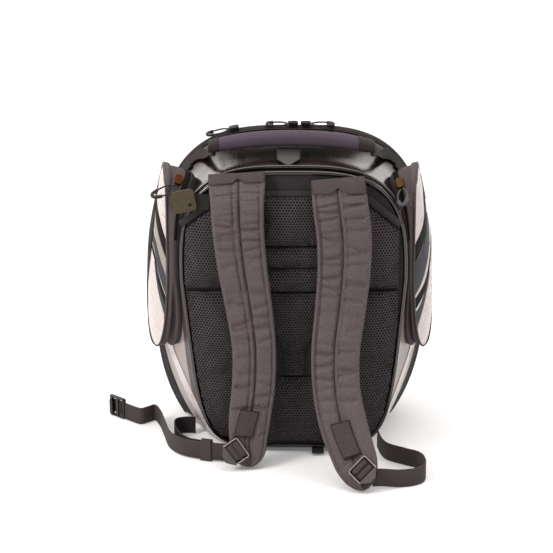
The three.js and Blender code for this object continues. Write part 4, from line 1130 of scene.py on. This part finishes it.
def add_strap(side):
    ats = np.linspace(0, 1, STRAP_ROWS)
    frames = strap_frames(side, ats)
    length = sum(np.linalg.norm(b[0] - a[0]) for a, b in zip(frames, frames[1:]))
    u = np.linspace(-1, 1, STRAP_COLUMNS[0])
    profile = strap_profile(side, u)
    w = np.linspace(1, -1, STRAP_COLUMNS[1])
    rings = []
    for at, strap_frame in zip(ats, frames):
        half, thick = strap_frame[4:]
        pad = thick / 2 - STRAP_EDGE
        height = np.maximum(pad * profile - crease_depth(side, at, u, length) * pad / STRAP_PAD, 0)
        front = on_strap(strap_frame, u * half, STRAP_EDGE + height)
        back = on_strap(strap_frame, w * half, -STRAP_EDGE - pad * (1 - w**STRAP_BACK_POWER))
        rings.append(np.concatenate([front, back]))
    nodes = [f"shoulder_strap_{side}"]
    strap = add_grid(f"strap_{side}", rings, "strap_polyester", nodes, ring=True)
    seam = [on_strap(spot, [spot[4] * STRAP_SEAMS[side]], [STRAP_EDGE])[0] for spot in frames[SEAM_ROWS]]
    add_tube(f"strap_seam_{side}", seam, SEAM_RADIUS, "dark_cord")


def add_strap_fold(side):
    """Cloth that is folded over the top of a strap and sewn down, with a notch at the seam, drawn darker as
    painted shade.
    """
    fold = STRAP_FOLDS[side]
    u = np.linspace(-1, 1, FOLD_STEPS[1])
    notch = fold["notch"] * np.exp(-(((u - fold["seam"]) / FOLD_NOTCH_WIDTH) ** 2))
    lower = fold["to"] + fold["slant"] * u - notch
    profile = strap_profile(side, u)
    grid = []
    for share in np.linspace(0, 1, FOLD_STEPS[0]):
        row = []
        for place, height, strap_frame in zip(u, profile, strap_frames(side, lower * share)):
            half, thick = strap_frame[4:]
            rounding = 1 - abs(place) ** EDGE_POWER
            raised = (thick / 2 - STRAP_EDGE) * max(height, fold["fill"] * rounding)
            lift = STRAP_EDGE + raised + fold["lift"] * math.sqrt(share) * rounding
            row.append(on_strap(strap_frame, [place * half], [lift])[0])
        grid.append(row)
    add_grid(f"strap_fold_{side}", grid, "fold_polyester", thickness=fold["lift"])


def flat_ring(middle, wide, tall, width, thickness):
    """A webbing section: a thin rectangle with rounded edges, wide one way and thin the other."""
    half = width / 2 - thickness / 2
    edge = np.linspace(-math.pi / 2, math.pi / 2, WEBBING_EDGE_STEPS)
    u = half + thickness / 2 * np.cos(edge)
    v = thickness / 2 * np.sin(edge)
    return middle + np.outer(np.concatenate([u, -u]), wide) + np.outer(np.concatenate([v, -v]), tall)


def add_strap_tab(side):
    size = STRAP_TABS[side]
    inner_width = WEBBING_WIDTH - PANEL_RIM
    pieces = (
        ("strap_patch", 0, 0, WEBBING_WIDTH, WEBBING_THICKNESS, "black_webbing", [f"strap_tab_{side}"]),
        ("strap_panel", PANEL_INSET, WEBBING_THICKNESS, inner_width, PANEL_LIFT, "fold_polyester", ()),
    )
    for name, inset, lift, width, thickness, material, nodes in pieces:
        rings = []
        shares = np.linspace(inset, 1 - inset, TAB_STEPS)
        frames = strap_frames(side, size["from"] + (size["to"] - size["from"]) * shares)
        for share, (middle, _, normal, sideways, _, thick) in zip(shares, frames):
            centre = middle + sideways * (size["across"] + size["drift"] * share)
            centre = centre + normal * (thick / 2 + GAP + lift + thickness / 2)
            rings.append(flat_ring(centre, sideways, normal, width, thickness))
        add_grid(f"{name}_{side}", rings, material, nodes, ring=True)
    add_copy(f"lock_{side}", f"ladder_lock_{side}", "buckle_plastic", BEVELS["lock"])
    add_lock_trim(side)


def add_lock_trim(side):
    """Webbing in two swelling bands between a ladder lock's bars, pale tubes on its edges as painted
    highlights, and its thumb plate in a lighter plastic as painted light.
    """
    size = STRAP_TABS[side]
    ((middle, tangent, normal, sideways, _, thick),) = strap_frames(side, [size["lock"]])
    turn = math.radians(size["turn"])
    across = sideways * math.cos(turn) - tangent * math.sin(turn)
    along = -sideways * math.sin(turn) - tangent * math.cos(turn)
    centre = middle + sideways * size["aside"] + normal * (thick / 2 + LOCK_THICKNESS / 2 + LOCK_LIFT)
    top = centre + normal * LOCK_THICKNESS / 2
    # A pale tube round the lock's top edge: a painted highlight
    wide = LOCK_WIDTH / 2 - LOCK_HIGHLIGHT_RADIUS
    tall = LOCK_LENGTH / 2 - LOCK_HIGHLIGHT_RADIUS
    bend = [LOCK_CORNER * share for share in LOCK_BEND]
    half = [(wide, -tall), *((wide - cut, tall - far) for cut, far in zip(bend, bend[::-1]))]
    rim = [*half, *((-x, y) for x, y in half[::-1])]
    edge = [top + across * x + along * y for x, y in rim]
    add_tube(f"lock_highlight_{side}", edge, LOCK_HIGHLIGHT_RADIUS, "rubbed_plastic")
    # The thumb plate is drawn lighter than the lock, as painted light on its matt face
    plate = []
    for y in np.linspace(PLATE_START, TONGUE_INSET - LOCK_LENGTH / 2 - LOCK_TONGUE, PLATE_STEPS[0]):
        narrowing = max(-y - LOCK_LENGTH / 2, 0) / LOCK_TONGUE
        half_wide = LOCK_WIDTH / 2 * (1 + (TONGUE_END_SHARE - 1) * narrowing) - TONGUE_INSET
        spots = np.linspace(-half_wide, half_wide, PLATE_STEPS[1])
        plate.append([top + normal * GAP + across * x + along * y for x in spots])
    add_grid(f"lock_plate_{side}", plate, "thumb_plastic", thickness=GAP)
    turns = np.linspace(0, TURN, LOCK_BAND_STEPS[1] + 1)[:-1]
    flat = squared_off(np.cos(turns), LOCK_BAND_SQUARENESS) * LOCK_BAND_LENGTH / 2
    proud = squared_off(np.sin(turns), LOCK_BAND_SQUARENESS) * LOCK_BAND_HEIGHT
    section = np.outer(flat, along) + np.outer(proud, normal)
    for number, place in enumerate(LOCK_BANDS):
        rings = []
        for share in np.linspace(-1, 1, LOCK_BAND_STEPS[0]):
            swelling = math.sqrt(max(1 - abs(share) ** EDGE_POWER, 0))
            rings.append(centre + along * place + across * share * (LOCK_SLOT / 2 - GAP) + section * swelling)
        add_grid(f"lock_band_{side}_{number}", rings, "webbing", ring=True)


def on_edge(line, width):
    """Rings of webbing that stands on its edge along a line."""
    ahead = np.gradient(line, axis=0)
    return [flat_ring(a, UP, unit(np.cross(b, UP)), width, WEBBING_THICKNESS) for a, b in zip(line, ahead)]


def add_webbing():
    for name, rows in WEBBING.items():
        line = curve_points(rows, WEBBING_STEPS)
        material = "black_webbing" if "anchor" in name else "webbing"
        band = add_grid(f"{name}_band", on_edge(line, WEBBING_WIDTH), material, [name], ring=True)
    before, end = np.array(WEBBING["webbing_left"][-2:])
    along = unit((end - before) * [1, 1, 0])
    route = [end + along * past + np.cross(along, UP) * lift for past, lift in GLIDE_WRAP]
    wrap = on_edge(curve_points(route, GLIDE_STEPS), GLIDE_WIDTH)
    add_grid("glide_wrap", wrap, "webbing", ring=True)
    add_copy("keeper_left", "web_keeper_left", "webbing", BEVELS["keeper"])
    add_copy("glide_left", "tri_glide_left", "buckle_plastic", BEVELS["glide"])
    add_copy("foot_tab", "base_tab", "black_webbing", BEVELS["foot_tab"])


# Pockets


def pocket_rim(angle, share=1.0):
    power = 2 / POCKET["power"]
    depth = POCKET["depth"] + share * POCKET["reach"] * squared_off(math.cos(angle), power)
    return depth, POCKET["z"] + share * POCKET["half_z"] * squared_off(math.sin(angle), power)


def pocket_edge_x(depth, z):
    share = (depth - POCKET["depth"] + POCKET["reach"]) / (2 * POCKET["reach"])
    row = table_row(POCKET_EDGE, "z", z)
    return row["edge"] + row["flare"] * share


def pocket_heart(sign):
    return np.array([sign * POCKET_EDGE[0]["edge"], POCKET["depth"], POCKET["z"]])


def gusset_point(sign, angle, across):
    """The gusset from the shell (across 0) to the face's edge (across 1), with a fold towards its foot."""
    depth, z = pocket_rim(angle)
    run = unit(np.subtract(pocket_rim(angle + NEARBY), pocket_rim(angle - NEARBY)))
    low = smooth_step((POCKET_FOLD["top"] - z) / POCKET_FOLD["fade"])
    crease = low * POCKET_FOLD["depth"] * math.exp(-(((across - 0.5) / POCKET_FOLD["width"]) ** 2))
    out = POCKET_FOLD["lobe"] * math.sin(math.pi * across) - crease
    droop = POCKET["droop"] * (1 - across) * max(math.sin(angle), 0) ** 2
    at_depth = depth + run[1] * out
    at_z = z - run[0] * out - droop
    inner = side_x(sign, at_depth, at_z) + sign * POCKET_STANDOFF
    return np.array([inner + (sign * pocket_edge_x(depth, z) - inner) * across, at_depth, at_z])


def face_point(sign, depth, z, share, lift):
    """A point over the domed face, at a share of the way from its middle to its edge."""
    dome = POCKET["dome"] * max(1 - share * share, 0)
    return np.array([sign * (pocket_edge_x(depth, z) + GAP + dome + CLOTH + lift), depth, z])


def face_at(sign, depth, z, lift):
    """A point over the face at a depth and height, drawn in to the face's edge."""
    power = POCKET["power"]
    off_depth = (depth - POCKET["depth"]) / POCKET["reach"]
    off_z = (z - POCKET["z"]) / POCKET["half_z"]
    share = (abs(off_depth) ** power + abs(off_z) ** power) ** (1 / power)
    inward = min(1 / max(share, TINY), 1)
    depth = POCKET["depth"] + off_depth * inward * POCKET["reach"]
    z = POCKET["z"] + off_z * inward * POCKET["half_z"]
    return face_point(sign, depth, z, min(share, 1), lift)


def add_pockets():
    angles = np.linspace(0, TURN, POCKET_STEPS[1] + 1)[:-1]
    for side, sign in SIDES.items():
        spans = np.linspace(0, 1, POCKET_STEPS[0])
        gusset = [[gusset_point(sign, angle, across) for angle in angles] for across in spans]
        nodes = [f"pocket_gusset_{side}"]
        add_grid(f"gusset_{side}", gusset, "gusset_tape", nodes, CLOTH, ring=True)
        face = [[face_point(sign, *pocket_rim(a, share), share, 0) for a in angles] for share in FACE_RINGS]
        nodes = [f"pocket_face_{side}"]
        add_grid(f"face_{side}", face, "white_vinyl", nodes, CLOTH, ring=True)
        for name, start, end, share, lift, radius, material in BINDINGS:
            around = np.linspace(start, end, BINDING_STEPS)
            line = [face_point(sign, *pocket_rim(angle, share), share, lift) for angle in around]
            ends = smooth_step(np.minimum(around - start, end - around) / BINDING_TAPER)
            shares = (BINDING_END + (radius - BINDING_END) * ends) / radius
            add_tube(f"face_{name}_{side}", line, radius, material, shares=shares)
        # The second of these is a black sheet of painted shade in the fold of the gusset
        for name, start, end, inner, outer, lift, material in CORNER_TABS:
            spans = np.linspace(inner, outer, CORNER_STEPS[1])
            around = np.linspace(start, end, CORNER_STEPS[0])
            cover = np.array([[gusset_point(sign, angle, across) for across in spans] for angle in around])
            cover = lifted(cover, lift, pocket_heart(sign))
            add_grid(f"corner_{name}_{side}", cover, material, thickness=lift)

        def on_face(depth, z):
            return face_at(sign, depth, z, STRIP_LIFT)

        def over_face(z, depth):
            return face_at(sign, depth, z, 2 * STRIP_LIFT)

        # Among these, a silver strip is a painted highlight and the slate strips below the lines are painted
        # shade
        for name, rows in FACE_STRIPS[side].items():
            add_strip(f"face_{name}_{side}", rows, on_face, FACE_STRIP_STEPS, FACE_STRIP_VINYLS[name])
        add_strip(f"face_rear_{side}", FACE_REAR_BANDS[side], over_face, REAR_BAND_STEPS, "ink_vinyl")


# Handle and patch


def handle_ring(u, grow=0.0):
    """The roll's rounded section at a place from -1 to 1 along it, grown by the thickness of a sleeve."""
    turns = np.linspace(0, TURN, HANDLE_STEPS[1] + 1)[:-1]
    half_tall = HANDLE["half_tall"] * (1 - HANDLE["end_loss"] * abs(u) ** HANDLE["end_power"]) + grow
    deep = (HANDLE["half_deep"] + grow) * squared_off(np.cos(turns), HANDLE["squareness"])
    tall = half_tall * squared_off(np.sin(turns), HANDLE["squareness"])
    x = np.full(len(turns), HANDLE["x"] + HANDLE["end_x"] * u)
    z = HANDLE["end_z"] + HANDLE["rise"] * (1 - u * u)
    return np.stack([x, HANDLE["depth"] + deep, z + tall], axis=1)


def add_handle():
    rings = [handle_ring(u) for u in np.linspace(-1, 1, HANDLE_STEPS[0])]
    handle = add_grid("handle_roll", rings, "neoprene", ["carry_handle"], ring=True)
    for side, sign in SIDES.items():
        places = np.linspace(SLEEVE[side], SLEEVE["to"], SLEEVE_STEPS)
        sleeve = [handle_ring(sign * u, SLEEVE["grow"]) for u in places]
        add_grid(f"handle_sleeve_{side}", sleeve, "tab_nylon", ring=True)
        tab = []
        for arc in np.linspace(HANDLE_TAB[0]["arc"], HANDLE_TAB[-1]["arc"], HANDLE_TAB_STEPS[0]):
            row = table_row(HANDLE_TAB, "arc", arc)
            depths = np.linspace(row["front"], row["back"], HANDLE_TAB_STEPS[1])
            tab.append([body_spot(depth, sign * arc, row["lift"] + WEBBING_THICKNESS) for depth in depths])
        nodes = [f"handle_tab_{side}"]
        add_grid(f"handle_patch_{side}", tab, "tab_nylon", nodes, WEBBING_THICKNESS)
    depths = np.linspace(SHIELD[0]["depth"], SHIELD[-1]["depth"], SHIELD_STEPS[0])
    halves = np.interp(depths, [row["depth"] for row in SHIELD], [row["half"] for row in SHIELD])
    arcs = [SHIELD_SET + np.linspace(-half, half, SHIELD_STEPS[1]) for half in halves]
    grid = np.array([body_line(depth, across) for depth, across in zip(depths, arcs)])
    rise = SHIELD_TILT * (depths - depths[0]) / (depths[-1] - depths[0])
    patch = lifted(grid, (PATCH_LIFT + CLOTH + rise)[:, None])
    add_grid("blank_patch", patch, "patch_rubber", ["shield_patch"], CLOTH)


# Sliders, pulls and tether


def turned(vector, axis, degrees):
    angle = math.radians(degrees)
    axis = unit(axis)
    turned_part = vector * math.cos(angle) + np.cross(axis, vector) * math.sin(angle)
    return turned_part + axis * axis.dot(vector) * (1 - math.cos(angle))


def add_pull(name, node, origin, along, up, length, cord, grip):
    """A cord loop through a slider with a moulded grip over its far end."""
    side = unit(np.cross(up, along))
    flat = unit(np.cross(side, up))
    route = np.array([origin + flat * length * far + side * PULL_SPREAD * aside for far, aside in PULL_ROUTE])
    line = curve_points(route, PULL_STEPS[0])
    loop = add_tube(f"{name}_cord", line, CORD_RADIUS, cord, [node])
    tip = add_tube(f"{name}_grip", curve_points(route[2:-2], PULL_STEPS[1]), GRIP_RADIUS, grip)


def add_zip_pulls():
    depth = RIM_DEPTH + ZIP_WIDTH / 3
    bulge = ZIP_BULGE * math.sin(math.pi * (depth - RIM_DEPTH - GAP) / (ZIP_WIDTH - 2 * GAP))
    for name, (arc, lies, length) in ZIP_PULLS.items():
        around = body_patch(depth, arc)
        normal = grid_normals(around)[1, 1]
        along = unit(around[1, 1 + lies] - around[1, 1])
        seat = around[1, 1] + normal * (bulge + SLIDER_HEIGHT / 2 + SEAT_LIFT)
        start = seat + along * (SLIDER_LENGTH / 2 + 2 * GAP)
        slider = f"zip_slider_{name}"
        add_copy(f"top_slider_{name}", slider, "buckle_plastic", BEVELS["slider"])
        finish = ("dark_cord", "buckle_plastic")
        add_pull(f"top_pull_{name}", f"zip_pull_{name}", start, along, normal, length, *finish)


def add_pocket_pulls():
    steps = (-NEARBY, 0, NEARBY)
    for name, pull in POCKET_PULLS.items():
        sign = SIDES[name]
        metal, cord = POCKET_FINISHES[name]
        spots = [[gusset_point(sign, pull["angle"] + a, pull["share"] + s) for s in steps] for a in steps]
        around = np.array(spots)
        normal = grid_normals(around, pocket_heart(sign))[1, 1]
        down = unit(around[2, 1] - around[1, 1])
        seat = around[1, 1] + normal * (SLIDER_HEIGHT / 2 + SEAT_LIFT)
        hinge = np.cross(normal, down)
        facing = turned(normal, hinge, -pull["lean"])
        hang = turned(turned(down, hinge, -pull["lean"]), facing, pull["swing"])
        start = seat + down * (SLIDER_LENGTH / 2 + CORD_RADIUS + 3 * GAP)
        slider = f"pocket_slider_{name}"
        add_copy(f"side_slider_{name}", slider, metal, BEVELS["slider"])
        add_pull(f"side_pull_{name}", f"pocket_pull_{name}", start, hang, facing, pull["length"], cord, cord)


def add_tether():
    add_copy("olive_tab", "tether_tab", "olive_cloth", BEVELS["olive_tab"])
    add_copy("olive_tab_strap", "tether_strap", "black_webbing", BEVELS["tether"])


# Studio


def add_world():
    """A lit backdrop that fades upwards and to its sides, and a ceiling light."""
    world = bpy.data.worlds.new("studio")
    bpy.context.scene.world = world
    world.use_nodes = True
    tree = world.node_tree
    background = tree.nodes["Background"]
    split = add_node(tree, "SeparateXYZ", {0: add_node(tree, "TexCoord").outputs["Generated"]})
    x, y, z = (split.outputs[axis] for axis in "XYZ")
    aside = add_node(tree, "Math", {0: x}, operation="ABSOLUTE")
    height = add_node(tree, "Math", {0: aside, 1: BACKDROP_WINGS, 2: z}, operation="MULTIPLY_ADD")
    sweep = {}
    for number, (along, rise) in enumerate(((height, BACKDROP), (y, BACKDROP_FRONT), (z, CEILING))):
        sockets = dict(enumerate((along, *rise)))
        sweep[number] = add_node(tree, "MapRange", sockets, interpolation_type="SMOOTHSTEP")
    glow = add_node(tree, "Math", sweep, operation="MULTIPLY_ADD")
    background.inputs["Color"].default_value = (*WARM, 1)
    tree.links.new(glow.outputs[0], background.inputs["Strength"])


def add_studio():
    """A pale paper floor, two softboxes and the camera."""
    glow = {"Emission_Color": (1, 1, 1, 1), "Emission_Strength": FLOOR_GLOW}
    paper, _, _ = new_material("floor_paper", Base_Color=linear(FLOOR_COLOUR), Roughness=0.9, **glow)
    mesh = bpy.data.meshes.new("floor")
    corners = [(x * FLOOR_REACH, y * FLOOR_REACH, 0) for x, y in ((-1, -1), (1, -1), (1, 1), (-1, 1))]
    mesh.from_pydata(corners, [], [(0, 1, 2, 3)])
    mesh.materials.append(paper)
    add_object("floor", mesh)
    for name, (place, size, power) in SOFTBOXES.items():
        data = bpy.data.lights.new(name, "AREA")
        data.shape = "RECTANGLE"
        data.size = data.size_y = size
        data.energy = power
        data.color = WARM
        lamp = add_object(name, data)
        lamp.location = place
        lamp.rotation_euler = Vector(np.subtract(LIGHT_TARGET, place)).to_track_quat("-Z", "Y").to_euler()
    data = bpy.data.cameras.new("camera")
    data.sensor_width = SENSOR
    data.lens = CAMERA_LENS
    camera = add_object("camera", data)
    camera.location = CAMERA_PLACE
    camera.rotation_euler = (math.radians(CAMERA_TILT), 0, 0)
    bpy.context.scene.camera = camera
    bpy.context.scene.view_settings.view_transform = "Standard"


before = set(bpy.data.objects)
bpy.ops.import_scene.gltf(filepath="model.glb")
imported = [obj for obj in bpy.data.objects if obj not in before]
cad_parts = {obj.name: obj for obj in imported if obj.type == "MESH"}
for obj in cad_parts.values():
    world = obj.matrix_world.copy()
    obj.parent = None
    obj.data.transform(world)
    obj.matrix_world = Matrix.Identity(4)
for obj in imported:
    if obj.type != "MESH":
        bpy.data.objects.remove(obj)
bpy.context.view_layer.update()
for shown, cloth_name in (("back_wall", "back_nylon"), ("base_panel", "lid_nylon")):
    dress(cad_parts[shown], cloth_name)
add_shell()
add_zip_band()
add_lid()
add_piping()
pads = add_pads()
swell(pads)
add_ribbons()
for strap_side in STRAPS:
    add_strap(strap_side)
    add_strap_fold(strap_side)
    add_strap_tab(strap_side)
add_webbing()
add_pockets()
add_handle()
add_zip_pulls()
add_pocket_pulls()
add_tether()
add_world()
add_studio()
